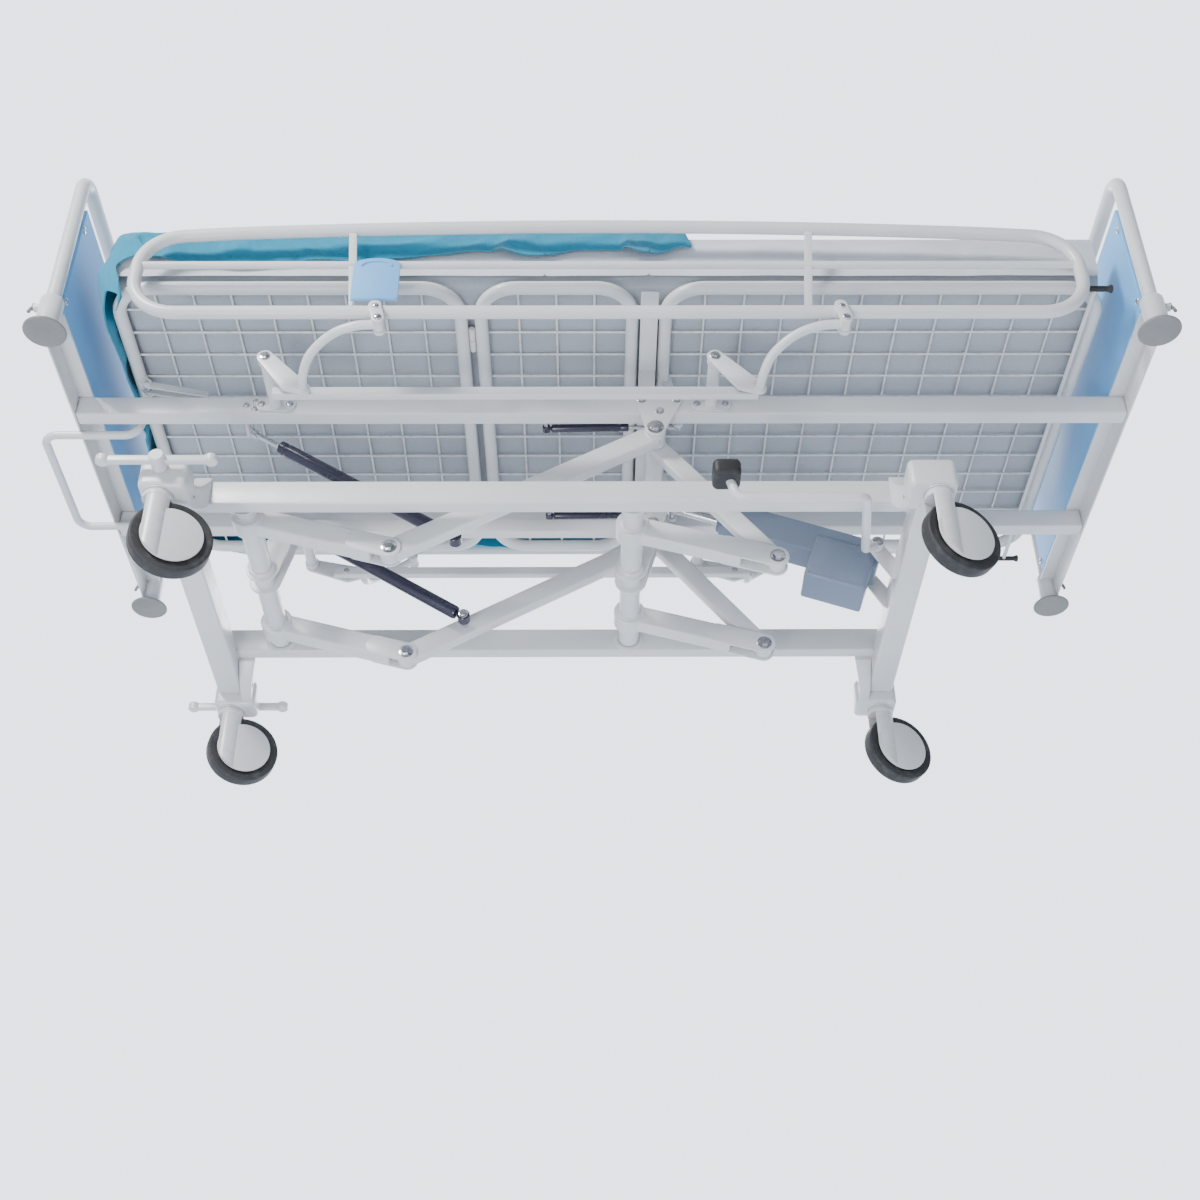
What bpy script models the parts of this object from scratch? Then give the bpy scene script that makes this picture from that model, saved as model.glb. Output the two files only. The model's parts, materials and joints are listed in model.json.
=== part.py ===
"""Adjustable hospital bed: rolling base, scissor lift with foot pump, tilting bed frame,
three-section lying surface, boards, side rails, mattress and blanket. Metres, +Z up.

The foot end is at -X and the head end at +X. Z = 0 is the floor. "near" is -Y and "far" is +Y.
Raising angles turn +X towards +Z, about the axis (0, -1, 0).
"""
import math

import bmesh
import bpy
from mathutils import Matrix, Vector

# ---------------------------------------------------------------- driving dimensions
GAP = 0.0003

# rolling base
BASE_BEAM_Y, BASE_BEAM_W = 0.261, 0.030
BASE_BEAM_Z = (0.233, 0.292)
CROSS_X = {"foot": -0.842, "head": 0.632}
CROSS_W, CROSS_Z, CROSS_HALF = 0.053, (0.190, 0.250), 0.3555
CROSS_WALL = 0.004
HOUSING_Y, HOUSING_Z = 0.420, (0.162, 0.229)
CASTER_Y, CASTER_TRAIL, CASTER_HEADING = 0.389, 0.0355, math.radians(21.5)
WHEEL_R, WHEEL_W = 0.078, 0.030
RAISE = 0.012  # the floor lies this far below the height that the other sizes are given from
HUB_Z = WHEEL_R - RAISE
BRAKE_X, BRAKE_Z = -0.838, 0.205

# lift linkage, in the XZ plane
LIFT_SHAFT = {"foot": (-0.717, 0.262), "head": (0.059, 0.262)}
LIFT_KNEE = {"foot": (-0.427, 0.180), "head": (0.349, 0.180)}
LIFT_ARM_Y = {"foot": 0.188, "head": 0.156}
LIFT_ARM_W = {"foot": 0.038, "head": 0.036}
LIFT_ARM_H = 0.047
UPPER_ARM_W = {"foot": 0.028, "head": 0.026}
UPPER_ARM_H = {"foot": 0.045, "head": 0.040}
KNEE_OPEN = {"foot": 0.034, "head": 0.070}
LEVER_PIN = (0.050, 0.123)
LEVER_TOP = (0.0755, 0.1857)
TILT_PIVOT = (0.110, 0.485)
PUMP_PIVOT = (0.575, 0.290)
PEDAL_BEND_X, PEDAL_Y, PEDAL_Z = 0.475, 0.400, 0.148

# gas springs, in the XZ plane
TILT_SPRING_Y, TILT_SPRING_LOW, TILT_SPRING_TOP = 0.140, (-0.303, 0.2504), (-0.755, 0.542)
BACK_SPRING_Y, BACK_SPRING_FIX, BACK_SPRING_LUG = 0.150, (-0.120, 0.540), (0.161, 0.545)

# bed frame
RAIL_X, RAIL_Y, RAIL_W, RAIL_Z = 1.1097, 0.194, 0.035, (0.528, 0.577)
END_X, SLEEVE_X, SLEEVE_Y, SLEEVE_R = 1.114, 1.100, 0.4715, 0.0235
DISC_R, DISC_Z = 0.0425, (0.508, 0.515)
LOOP_X, LOOP_Z, LOOP_R = 1.190, 0.5185, 0.009
HOOP_R, HOOP_TOP, HOOP_CORNER = 0.015, 0.971, 0.045

# lying surface
DECK_Y, DECK_Z, DECK_R, DECK_CORNER = 0.434, 0.671, 0.014, 0.090
WIRE_PITCH = 0.198
CALF_X, THIGH_X, BACK_X = (-1.017, -0.282), (-0.268, 0.076), (0.117, 1.041)
KNEE_HINGE, THIGH_HINGE, BACK_HINGE = (-0.275, 0.671), (0.062, 0.671), (0.131, 0.671)
STRUT_PIVOT, STRUT_END = (-0.985, 0.650), (-0.855, 0.622)
RELEASE_AXIS = (1.000, 0.645)
MATTRESS_Y, MATTRESS_Z = 0.430, (0.6855, 0.830)
MATTRESS_X = (-1.010, 1.030)
NOTCH_THIGH, NOTCH_BACK = math.radians(33), math.radians(45)

# side rails; the crank points are offsets from the crank's pivot, in the XZ plane
GUARD_Y, GUARD_R = 0.485, 0.0135
CRANK_PIVOT = {"foot": (-0.690, 0.552), "head": (0.229, 0.552)}
CRANK_RAIL, CRANK_LINK, CRANK_SYNC = (0.2475, -0.035), (0.086, -0.088), (0.050, -0.080)
FORK_HALF, FORK_R, FORK_TOP = 0.0205, 0.0125, 0.548
SYNC_Y = (0.3265, 0.3435)
GUARD_RAISED = {"near": 0.0, "far": math.radians(35)}
OUTRIGGER_R, OUTRIGGER_Y = 0.013, 0.352

# the model's own origin is the middle of its box, between the loop handle and the head discs
X_SHIFT = (LOOP_X + LOOP_R - SLEEVE_X - DISC_R) / 2

COLOURS = {
    "white_paint": ((0.66, 0.66, 0.66), 0.38, 0.0),
    "chrome": ((0.80, 0.80, 0.82), 0.12, 1.0),
    "light_blue": ((0.22, 0.45, 0.72), 0.35, 0.0),
    "blue_grey": ((0.18, 0.24, 0.34), 0.45, 0.0),
    "dark_navy": ((0.025, 0.024, 0.045), 0.30, 0.0),
    "black_rubber": ((0.015, 0.015, 0.016), 0.60, 0.0),
    "grey_plastic": ((0.22, 0.22, 0.22), 0.50, 0.0),
    "wheel_grey": ((0.55, 0.55, 0.55), 0.45, 0.0),
    "mattress_cloth": ((0.62, 0.64, 0.67), 0.85, 0.0),
    "blanket_cloth": ((0.03, 0.35, 0.50), 0.90, 0.0),
}


# ---------------------------------------------------------------- helpers
def clear_scene():
    for obj in list(bpy.data.objects):
        bpy.data.objects.remove(obj, do_unlink=True)


def make_material(name):
    colour, roughness, metallic = COLOURS[name]
    mat = bpy.data.materials.new(name)
    mat.use_nodes = True
    shader = mat.node_tree.nodes["Principled BSDF"]
    shader.inputs["Base Color"].default_value = (*colour, 1.0)
    shader.inputs["Roughness"].default_value = roughness
    shader.inputs["Metallic"].default_value = metallic
    return mat


def bake_transform(obj):
    """Moves the object's placement into its mesh, so later steps all work in bed coordinates."""
    bpy.context.view_layer.update()
    obj.data.transform(obj.matrix_world)
    obj.matrix_world = Matrix.Identity(4)
    return obj


def as_mesh(obj):
    """A welded mesh object with the evaluated shape of obj, which is removed."""
    bpy.context.view_layer.update()
    depsgraph = bpy.context.evaluated_depsgraph_get()
    mesh = bpy.data.meshes.new_from_object(obj.evaluated_get(depsgraph), depsgraph=depsgraph)
    mesh.transform(obj.matrix_world)
    bpy.data.objects.remove(obj, do_unlink=True)
    bm = bmesh.new()
    bm.from_mesh(mesh)
    bmesh.ops.remove_doubles(bm, verts=bm.verts, dist=1e-6)
    bmesh.ops.recalc_face_normals(bm, faces=bm.faces)
    bm.to_mesh(mesh)
    bm.free()
    solid = bpy.data.objects.new("solid", mesh)
    bpy.context.collection.objects.link(solid)
    return solid


def box(x, y, z, bevel=0.0, segments=1):
    """A box between pairs of limits, with rounded edges if asked for."""
    lo = Vector((min(x), min(y), min(z)))
    hi = Vector((max(x), max(y), max(z)))
    bpy.ops.mesh.primitive_cube_add(size=1, location=(lo + hi) / 2)
    obj = bpy.context.object
    obj.scale = hi - lo
    bake_transform(obj)
    if bevel:
        mod = obj.modifiers.new("edges", "BEVEL")
        mod.width, mod.segments = bevel, segments
        obj = as_mesh(obj)
    return obj


def cylinder(start, end, radius, sides=12, end_radius=None):
    start, end = Vector(start), Vector(end)
    axis = end - start
    bpy.ops.mesh.primitive_cone_add(
        vertices=sides, radius1=radius, depth=axis.length,
        radius2=radius if end_radius is None else end_radius, location=(start + end) / 2,
    )
    obj = bpy.context.object
    obj.rotation_mode = "QUATERNION"
    obj.rotation_quaternion = axis.to_track_quat("Z", "Y")
    return bake_transform(obj)


def pin(at, y0, y1, radius, sides=8):
    """A cylinder along Y through the XZ point at."""
    return cylinder((at[0], y0, at[1]), (at[0], y1, at[1]), radius, sides)


def beam(start, end, y, width, height):
    """A rectangular bar between two XZ points, centred on y."""
    run = Vector((end[0] - start[0], 0, end[1] - start[1]))
    mid = Vector(((start[0] + end[0]) / 2, y, (start[1] + end[1]) / 2))
    obj = box((-run.length / 2, run.length / 2), (-width / 2, width / 2), (-height / 2, height / 2))
    obj.rotation_euler = (0, -math.atan2(run.z, run.x), 0)
    obj.location = mid
    return bake_transform(obj)


def hull(points):
    """The convex outline of flat points, counter-clockwise."""
    points = sorted(set((round(a, 7), round(b, 7)) for a, b in points))

    def half(items):
        chain = []
        for p in items:
            while len(chain) > 1:
                (ax, ay), (bx, by) = chain[-2:]
                if (bx - ax) * (p[1] - ay) - (by - ay) * (p[0] - ax) > 1e-9:
                    break
                chain.pop()
            chain.append(p)
        return chain[:-1]

    return half(points) + half(points[::-1])


def rounded_link(circles, y0, y1, sides=12):
    """A plate square to Y around circles (x, z, radius), like a link or a teardrop lever."""
    ring = [
        (cx + r * math.cos(2 * math.pi * k / sides), cz + r * math.sin(2 * math.pi * k / sides))
        for cx, cz, r in circles for k in range(sides)
    ]
    return plate(hull(ring), y0, y1)


def plate(outline, y0, y1):
    """A flat outline in XZ, made thick between y0 and y1."""
    curve = bpy.data.curves.new("outline", "CURVE")
    curve.dimensions, curve.fill_mode = "2D", "BOTH"
    curve.extrude = abs(y1 - y0) / 2
    spline = curve.splines.new("POLY")
    spline.points.add(len(outline) - 1)
    for point, (a, b) in zip(spline.points, outline):
        point.co = (a, b, 0, 1)
    spline.use_cyclic_u = True
    obj = bpy.data.objects.new("outline", curve)
    bpy.context.collection.objects.link(obj)
    obj.rotation_euler = (math.pi / 2, 0, 0)
    obj.location = (0, (y0 + y1) / 2, 0)
    return as_mesh(obj)


def rounded_path(corners, radius, steps=4, closed=False):
    """The corner points joined by straight runs, with an arc of the given radius at each bend."""
    corners = [Vector(c) for c in corners]
    count = len(corners)
    path = []
    for i, corner in enumerate(corners):
        if not closed and i in (0, count - 1):
            path.append(corner)
            continue
        before = (corners[i - 1] - corner).normalized()
        after = (corners[(i + 1) % count] - corner).normalized()
        half_angle = before.angle(after) / 2
        centre = corner + (before + after).normalized() * radius / math.sin(half_angle)
        first = corner + before * radius / math.tan(half_angle) - centre
        last = corner + after * radius / math.tan(half_angle) - centre
        turn = first.angle(last)
        for k in range(steps + 1):
            t = k / steps
            path.append(centre + (first * math.sin((1 - t) * turn) + last * math.sin(t * turn))
                        / math.sin(turn))
    return path


def smooth_path(points, steps=4):
    """A smooth curve through the points."""
    points = [Vector(p) for p in points]
    ends = [2 * points[0] - points[1]] + points + [2 * points[-1] - points[-2]]
    path = []
    for a, b, c, d in zip(ends, ends[1:], ends[2:], ends[3:]):
        for k in range(steps):
            t = k / steps
            path.append(0.5 * (2 * b + (c - a) * t + (2 * a - 5 * b + 4 * c - d) * t * t
                               + (3 * b - a - 3 * c + d) * t ** 3))
    return path + [points[-1]]


def tube(path, radius, closed=False, resolution=2):
    curve = bpy.data.curves.new("tube", "CURVE")
    curve.dimensions = "3D"
    curve.bevel_depth, curve.bevel_resolution = radius, resolution
    curve.use_fill_caps = True
    spline = curve.splines.new("POLY")
    spline.points.add(len(path) - 1)
    for point, co in zip(spline.points, path):
        point.co = (*co, 1)
    spline.use_cyclic_u = closed
    obj = bpy.data.objects.new("tube", curve)
    bpy.context.collection.objects.link(obj)
    return as_mesh(obj)


def turned(profile, steps):
    """A closed profile of (radius, height) turned about Z."""
    mesh = bpy.data.meshes.new("profile")
    count = len(profile)
    mesh.from_pydata([(r, 0, h) for r, h in profile], [(i, (i + 1) % count) for i in range(count)], [])
    obj = bpy.data.objects.new("turned", mesh)
    bpy.context.collection.objects.link(obj)
    mod = obj.modifiers.new("turn", "SCREW")
    mod.steps = mod.render_steps = steps
    mod.use_merge_vertices, mod.merge_threshold = True, 1e-5
    return as_mesh(obj)


def loft(sections):
    """Rectangles (y, x0, x1, z0, z1) joined along Y into one solid."""
    bm = bmesh.new()
    rings = []
    for y, x0, x1, z0, z1 in sections:
        rings.append([bm.verts.new(c) for c in ((x0, y, z0), (x1, y, z0), (x1, y, z1), (x0, y, z1))])
    for a, b in zip(rings, rings[1:]):
        for i in range(4):
            bm.faces.new((a[i], a[(i + 1) % 4], b[(i + 1) % 4], b[i]))
    bm.faces.new(rings[0])
    bm.faces.new(rings[-1])
    bmesh.ops.recalc_face_normals(bm, faces=bm.faces)
    mesh = bpy.data.meshes.new("loft")
    bm.to_mesh(mesh)
    bm.free()
    obj = bpy.data.objects.new("loft", mesh)
    bpy.context.collection.objects.link(obj)
    return obj


def combine(target, others, operation="UNION"):
    for other in others:
        mod = target.modifiers.new("join", "BOOLEAN")
        mod.operation, mod.solver, mod.object = operation, "EXACT", other
        target = as_mesh(target)
        bpy.data.objects.remove(other, do_unlink=True)
    return target


def join(parts):
    return combine(parts[0], parts[1:])


def cut(target, cutters):
    return combine(target, cutters, "DIFFERENCE")


class Bed:
    """Collects the finished pieces under one empty."""

    def __init__(self):
        self.collection = bpy.data.collections.new("hospital_bed")
        bpy.context.scene.collection.children.link(self.collection)
        self.materials = {name: make_material(name) for name in COLOURS}
        self.root = bpy.data.objects.new("bed_origin", None)
        self.root.location = (X_SHIFT, 0, RAISE)
        self.collection.objects.link(self.root)

    def add(self, name, obj, material, origin=(0, 0, 0)):
        """Names a piece, gives it its material and sets its origin, which is on its joint's axis."""
        obj.name = obj.data.name = name
        obj.data.transform(Matrix.Translation(-Vector(origin)))
        obj.location = origin
        obj.parent = self.root
        obj.data.materials.clear()
        obj.data.materials.append(self.materials[material])
        obj.data.shade_smooth()
        obj.data.set_sharp_from_angle(angle=math.radians(35))
        for used in list(obj.users_collection):
            used.objects.unlink(obj)
        self.collection.objects.link(obj)


def both_sides():
    return (("near", -1), ("far", 1))


def toward(start, end, distance):
    """The XZ point at a distance from start towards end."""
    run = math.dist(start, end)
    return (start[0] + (end[0] - start[0]) * distance / run,
            start[1] + (end[1] - start[1]) * distance / run)


def offset(point, by):
    return (point[0] + by[0], point[1] + by[1])


# ---------------------------------------------------------------- rolling base
def cross_beam(x):
    half = CROSS_W / 2
    outer = box((x - half, x + half), (-CROSS_HALF, CROSS_HALF), CROSS_Z, bevel=0.004)
    inner = box((x - half + CROSS_WALL, x + half - CROSS_WALL), (-CROSS_HALF - 0.01, CROSS_HALF + 0.01),
                (CROSS_Z[0] + CROSS_WALL, CROSS_Z[1] - CROSS_WALL))
    return cut(outer, [inner])


def build_base(bed):
    parts = [cross_beam(x) for x in CROSS_X.values()]
    for _, side in both_sides():
        y0, y1 = sorted((side * (BASE_BEAM_Y - BASE_BEAM_W / 2), side * (BASE_BEAM_Y + BASE_BEAM_W / 2)))
        parts.append(box((CROSS_X["foot"] - 0.006, CROSS_X["head"] + 0.006), (y0, y1), BASE_BEAM_Z,
                         bevel=0.004))
        lug_root = (CROSS_X["head"] - 0.02, 0.228, 0.018)
        lug = rounded_link([lug_root, (*PUMP_PIVOT, 0.016)], side * 0.0505, side * 0.0565)
        parts.append(lug)
    parts.append(pin(PUMP_PIVOT, -0.083, 0.060, 0.006))
    bed.add("base_frame", join(parts), "white_paint")


def build_corner_bracket(bed, end, name, side):
    """Housing over the caster stem, with a flared arm to the end of the long beam."""
    x = CROSS_X[end]
    inward = 1 if end == "foot" else -1
    housing = box((x - inward * 0.036, x + inward * 0.056), (side * 0.3558, side * HOUSING_Y), HOUSING_Z,
                  bevel=0.012, segments=2)
    arm = []
    steps = 4
    inner_y, outer_y = BASE_BEAM_Y + BASE_BEAM_W / 2 + GAP, 0.372
    for k in range(steps + 1):
        t = k / steps
        rise = (1 - t) ** 2.2
        arm.append((side * (inner_y + (outer_y - inner_y) * t),
                    *sorted((x + inward * (CROSS_W / 2 + 0.001), x + inward * (0.050 + 0.015 * rise))),
                    0.168 + 0.058 * rise, 0.222 + 0.078 * rise))
    pocket = cylinder((x, side * CASTER_Y, 0.150), (x, side * CASTER_Y, 0.187), 0.0245, 8)
    bracket = cut(join([housing, loft(arm)]), [pocket])
    if end == "foot":
        bracket = cut(bracket, [pin((BRAKE_X, BRAKE_Z), side * 0.34, side * 0.44, 0.0088)])
    bed.add(f"corner_bracket_{end}_{name}", bracket, "white_paint")


def caster_axis(end, side):
    return Vector((CROSS_X[end], side * CASTER_Y, 0))


def build_caster(bed, end, name, side):
    """Fork with cheek discs and a stem, and its wheel. Every caster trails at the same heading."""
    place = Matrix.Translation(caster_axis(end, side)) @ Matrix.Rotation(CASTER_HEADING, 4, "Z")
    hub = Vector((CASTER_TRAIL, 0, HUB_Z))
    cheek_half = 0.022
    fork = join([
        cylinder((0, 0, HUB_Z - 0.003), (0, 0, HOUSING_Z[0] - 0.0015), 0.028, 12),
        cylinder(hub - Vector((0, cheek_half, 0)), hub + Vector((0, cheek_half, 0)), 0.059, 16),
        cylinder((0, 0, 0.150), (0, 0, 0.1865), 0.022, 8),
    ])
    slot_half = WHEEL_W / 2 + 0.0013
    fork = cut(fork, [cylinder(hub - Vector((0, slot_half, 0)), hub + Vector((0, slot_half, 0)),
                               WHEEL_R + 0.0055, 16)])
    fork = join([fork, cylinder(hub - Vector((0, 0.0235, 0)), hub + Vector((0, 0.0235, 0)), 0.006, 6)])
    fork.data.transform(place)
    bed.add(f"caster_fork_{end}_{name}", fork, "white_paint", caster_axis(end, side))

    half = WHEEL_W / 2
    upper = [(0.0070, half), (0.070, half), (WHEEL_R, 0.008)]
    profile = upper + [(r, -h) for r, h in reversed(upper)]
    wheel = turned(profile, 16)
    wheel.data.transform(place @ Matrix.Translation(hub) @ Matrix.Rotation(math.pi / 2, 4, "X"))
    bed.add(f"caster_wheel_{end}_{name}", wheel, "wheel_grey", place @ hub)


def build_brake(bed):
    """Two rocking pedals on the hexagonal shaft that runs through the foot cross beam."""
    parts = [pin((BRAKE_X, BRAKE_Z), -0.452, 0.452, 0.0078, 6)]
    for _, side in both_sides():
        parts.append(pin((BRAKE_X, BRAKE_Z), side * 0.4208, side * 0.460, 0.015, 12))
        parts.append(box((BRAKE_X - 0.105, BRAKE_X + 0.099), (side * 0.4335, side * 0.4465),
                         (BRAKE_Z - 0.005, BRAKE_Z + 0.011), bevel=0.003))
        for x in (BRAKE_X - 0.105, BRAKE_X + 0.099):
            parts.append(cylinder((x, side * 0.440, BRAKE_Z - 0.0065), (x, side * 0.440, BRAKE_Z + 0.0125),
                                  0.013, 8))
    bed.add("brake_pedals", join(parts), "white_paint", (BRAKE_X, 0, BRAKE_Z))


# ---------------------------------------------------------------- lift
def lower_arm(end, side):
    """One arm from the lift shaft to the knee, with a clevis that holds the upper arm."""
    shaft, knee = LIFT_SHAFT[end], LIFT_KNEE[end]
    y, width = side * LIFT_ARM_Y[end], LIFT_ARM_W[end]
    parts = [beam(shaft, toward(knee, shaft, KNEE_OPEN[end]), y, width, LIFT_ARM_H),
             pin(shaft, y - width / 2 - 0.003, y + width / 2 + 0.003, 0.034, 12)]
    for face in (-1, 1):
        outer, inner = y + face * width / 2, y + face * (width / 2 - 0.0045)
        back = toward(knee, shaft, KNEE_OPEN[end] + 0.030)
        parts.append(rounded_link([(*knee, 0.0232), (*back, 0.0232)], inner, outer + face * 0.0004, 10))
    parts.append(pin(knee, y - width / 2 - 0.001, y + width / 2 + 0.001, 0.0070))
    parts.append(pin(knee, y - width / 2 - 0.0075, y - width / 2 + 0.001, 0.0110, 6))
    return parts


def build_lift_arms(bed, end):
    shaft = LIFT_SHAFT[end]
    reach = BASE_BEAM_Y - BASE_BEAM_W / 2 - GAP
    parts = [pin(shaft, -reach, reach, 0.0225, 12)]
    for _, side in both_sides():
        parts += lower_arm(end, side)
        circles = [(*shaft, 0.034), (*offset(shaft, LEVER_PIN), 0.018)]
        if end == "head":
            circles = [(*shaft, 0.034), (*offset(shaft, LEVER_TOP), 0.015)]
        parts.append(rounded_link(circles, side * 0.0200, side * 0.0248))
    parts.append(pin(offset(shaft, LEVER_PIN), -0.0262, 0.0262, 0.0060))
    bed.add(f"lift_arms_{end}", join(parts), "white_paint", (shaft[0], 0, shaft[1]))


def build_push_rod(bed):
    pins = [offset(LIFT_SHAFT[end], LEVER_PIN) for end in ("foot", "head")]
    rod = beam(offset(pins[0], (-0.020, 0)), offset(pins[1], (0.020, 0)), 0, 0.025, 0.0345)
    rod = cut(rod, [pin(p, -0.02, 0.02, 0.0066) for p in pins])
    bed.add("push_rod", rod, "white_paint", (pins[0][0], 0, pins[0][1]))


def build_upper_arms(bed):
    """Both pairs of upper arms on the tilt shaft, with the pins of the tilt springs."""
    parts = [pin(TILT_PIVOT, -0.2105, 0.2105, 0.020, 12)]
    bores = []
    for _, side in both_sides():
        parts.append(pin(TILT_PIVOT, side * 0.205, side * 0.2195, 0.009))
        parts.append(pin(TILT_PIVOT, side * 0.2174, side * 0.2240, 0.0125, 6))
        for end in ("foot", "head"):
            y, width, height = side * LIFT_ARM_Y[end], UPPER_ARM_W[end], UPPER_ARM_H[end]
            knee = LIFT_KNEE[end]
            parts.append(beam(toward(knee, TILT_PIVOT, 0.004), TILT_PIVOT, y, width, height))
            parts.append(pin(knee, y - width / 2 + 0.0002, y + width / 2 - 0.0002, height / 2 - 0.001, 12))
            bores.append(pin(knee, y - 0.03, y + 0.03, 0.0078))
        parts.append(pin(TILT_SPRING_LOW, side * 0.176, side * 0.1245, 0.006))
    arms = cut(join(parts), bores)
    bed.add("upper_arms", arms, "white_paint", (LIFT_KNEE["foot"][0], 0, LIFT_KNEE["foot"][1]))


def pump_frame():
    """Places a shape built along +X onto the line from the pump's pivot to the head lever's top."""
    top = offset(LIFT_SHAFT["head"], LEVER_TOP)
    run = (top[0] - PUMP_PIVOT[0], top[1] - PUMP_PIVOT[1])
    place = (Matrix.Translation((PUMP_PIVOT[0], 0, PUMP_PIVOT[1]))
             @ Matrix.Rotation(-math.atan2(run[1], run[0]), 4, "Y"))
    return place, math.hypot(*run)


def build_pump(bed):
    place, reach = pump_frame()
    origin = (PUMP_PIVOT[0], 0, PUMP_PIVOT[1])
    body = join([
        box((-0.012, 0.335), (-0.034, 0.034), (-0.036, 0.036), bevel=0.004),
        box((-0.003, 0.128), (-0.043, 0.043), (-0.004, 0.105), bevel=0.004),
    ])
    body = cut(body, [cylinder((0.050, 0, 0), (0.345, 0, 0), 0.0108, 10), pin((0, 0), -0.05, 0.05, 0.0066)])
    body.data.transform(place)
    bed.add("pump_body", body, "blue_grey", origin)
    rod = join([cylinder((0.068, 0, 0), (reach, 0, 0), 0.0095, 10), pin((reach, 0), -0.0185, 0.0185, 0.0135)])
    rod.data.transform(place)
    bed.add("pump_rod", rod, "chrome", origin)


def build_pedal(bed):
    """Bent tube lever on the pump's pivot pin, passing under the base beam to a rubber pad."""
    x, z = PUMP_PIVOT
    path = rounded_path([
        (x, -0.066, z), (x - 0.035, -0.110, z - 0.045), (PEDAL_BEND_X + 0.020, -PEDAL_Y, PEDAL_Z),
        (0.250, -PEDAL_Y, PEDAL_Z), (0.236, -PEDAL_Y, 0.195),
    ], 0.022, 4)
    lever = join([tube(path, 0.009), pin(PUMP_PIVOT, -0.0578, -0.0780, 0.014)])
    lever = cut(lever, [pin(PUMP_PIVOT, -0.05, -0.09, 0.0066)])
    bed.add("foot_pedal_lever", lever, "white_paint", (x, 0, z))
    pad = box((0.205, 0.259), (-PEDAL_Y - 0.029, -PEDAL_Y + 0.029), (0.184, 0.226), bevel=0.010, segments=2)
    pad = cut(pad, [tube([(0.2505, -PEDAL_Y, 0.1462), (0.2360 - 0.0003, -PEDAL_Y, 0.1954)], 0.0096)])
    bed.add("foot_pedal_pad", pad, "black_rubber", (x, 0, z))


def along_spring(low, top, side, y):
    """Places a shape built along +X onto the line between two XZ points."""
    angle = math.atan2(top[1] - low[1], top[0] - low[0])
    return Matrix.Translation((low[0], side * y, low[1])) @ Matrix.Rotation(-angle, 4, "Y")


def build_gas_spring(bed, kind, name, side, low, top, y, sizes):
    """A cylinder that swings on its lower pin, and the rod that slides in it."""
    body_r, rod_r, body_end, rod_start, pin_r, eye_half, boss = sizes
    place = along_spring(low, top, side, y)
    reach = math.dist(low, top)
    body = join([
        cylinder((body_r * 0.6, 0, 0), (body_end, 0, 0), body_r, 10),
        pin((0, 0), -eye_half, eye_half, body_r * 0.92, 10),
    ])
    body = cut(body, [
        cylinder((rod_start - 0.07, 0, 0), (body_end + 0.01, 0, 0), rod_r + 0.0008, 8),
        pin((0, 0), -0.03, 0.03, pin_r + 0.0006),
    ])
    body.data.transform(place)
    origin = (low[0], side * y, low[1])
    bed.add(f"{kind}_spring_cylinder_{name}", body, "dark_navy", origin)
    rod = join([
        cylinder((rod_start, 0, 0), (reach, 0, 0), rod_r, 8),
        pin((reach, 0), -side * eye_half * 0.7, side * boss, rod_r * 1.75, 10),
    ])
    rod.data.transform(place)
    bed.add(f"{kind}_spring_rod_{name}", rod, "chrome", origin)


def build_springs(bed):
    for name, side in both_sides():
        build_gas_spring(bed, "tilt", name, side, TILT_SPRING_LOW, TILT_SPRING_TOP, TILT_SPRING_Y,
                         (0.0150, 0.0062, 0.455, 0.200, 0.006, 0.0120, 0.0355))
        build_gas_spring(bed, "back", name, side, BACK_SPRING_FIX, BACK_SPRING_LUG, BACK_SPRING_Y,
                         (0.0090, 0.0042, 0.176, 0.090, 0.005, 0.0080, 0.0085))


# ---------------------------------------------------------------- bed frame
def build_bed_frame(bed):
    parts = []
    for _, side in both_sides():
        y0, y1 = side * (RAIL_Y - RAIL_W / 2), side * (RAIL_Y + RAIL_W / 2)
        parts.append(box((-RAIL_X, RAIL_X), (y0, y1), RAIL_Z, bevel=0.004))
        parts.append(box((0.0805, 0.1125), (side * 0.180, side * 0.208), (RAIL_Z[1] - 0.002, 0.657)))
        for pivot in CRANK_PIVOT.values():
            parts.append(pin(pivot, side * (RAIL_Y + 0.010), side * OUTRIGGER_Y, OUTRIGGER_R, 10))
            parts.append(pin(pivot, y1 - side * 0.001, y1 + side * 0.004, 0.0205, 12))
            parts.append(pin(pivot, side * 0.345, side * 0.3625, 0.006))
        bracket_out = y1 + side * 0.0053
        parts.append(rounded_link([(0.083, 0.562, 0.012), (0.157, 0.562, 0.012), (*TILT_PIVOT, 0.021)],
                                  y1 - side * 0.0003, bracket_out))
        for at in ((0.083, 0.562), (0.157, 0.562), (0.120, 0.530)):
            parts.append(pin(at, bracket_out - side * 0.001, bracket_out + side * 0.0045, 0.006))
        parts.append(pin(BACK_SPRING_FIX, y0 + side * 0.003, side * 0.1405, 0.005))
    parts.append(box((0.0785, 0.1145), (-DECK_Y, DECK_Y), (0.655, 0.661)))
    for side in (-1, 1):
        parts.append(box((0.0810, 0.1120), (side * 0.325, side * 0.353), (0.6605, 0.6790)))
    frame = cut(join(parts), [pin(TILT_PIVOT, side * 0.20, side * 0.23, 0.0098) for side in (-1, 1)])
    bed.add("bed_frame", frame, "white_paint", (TILT_PIVOT[0], 0, TILT_PIVOT[1]))


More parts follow.
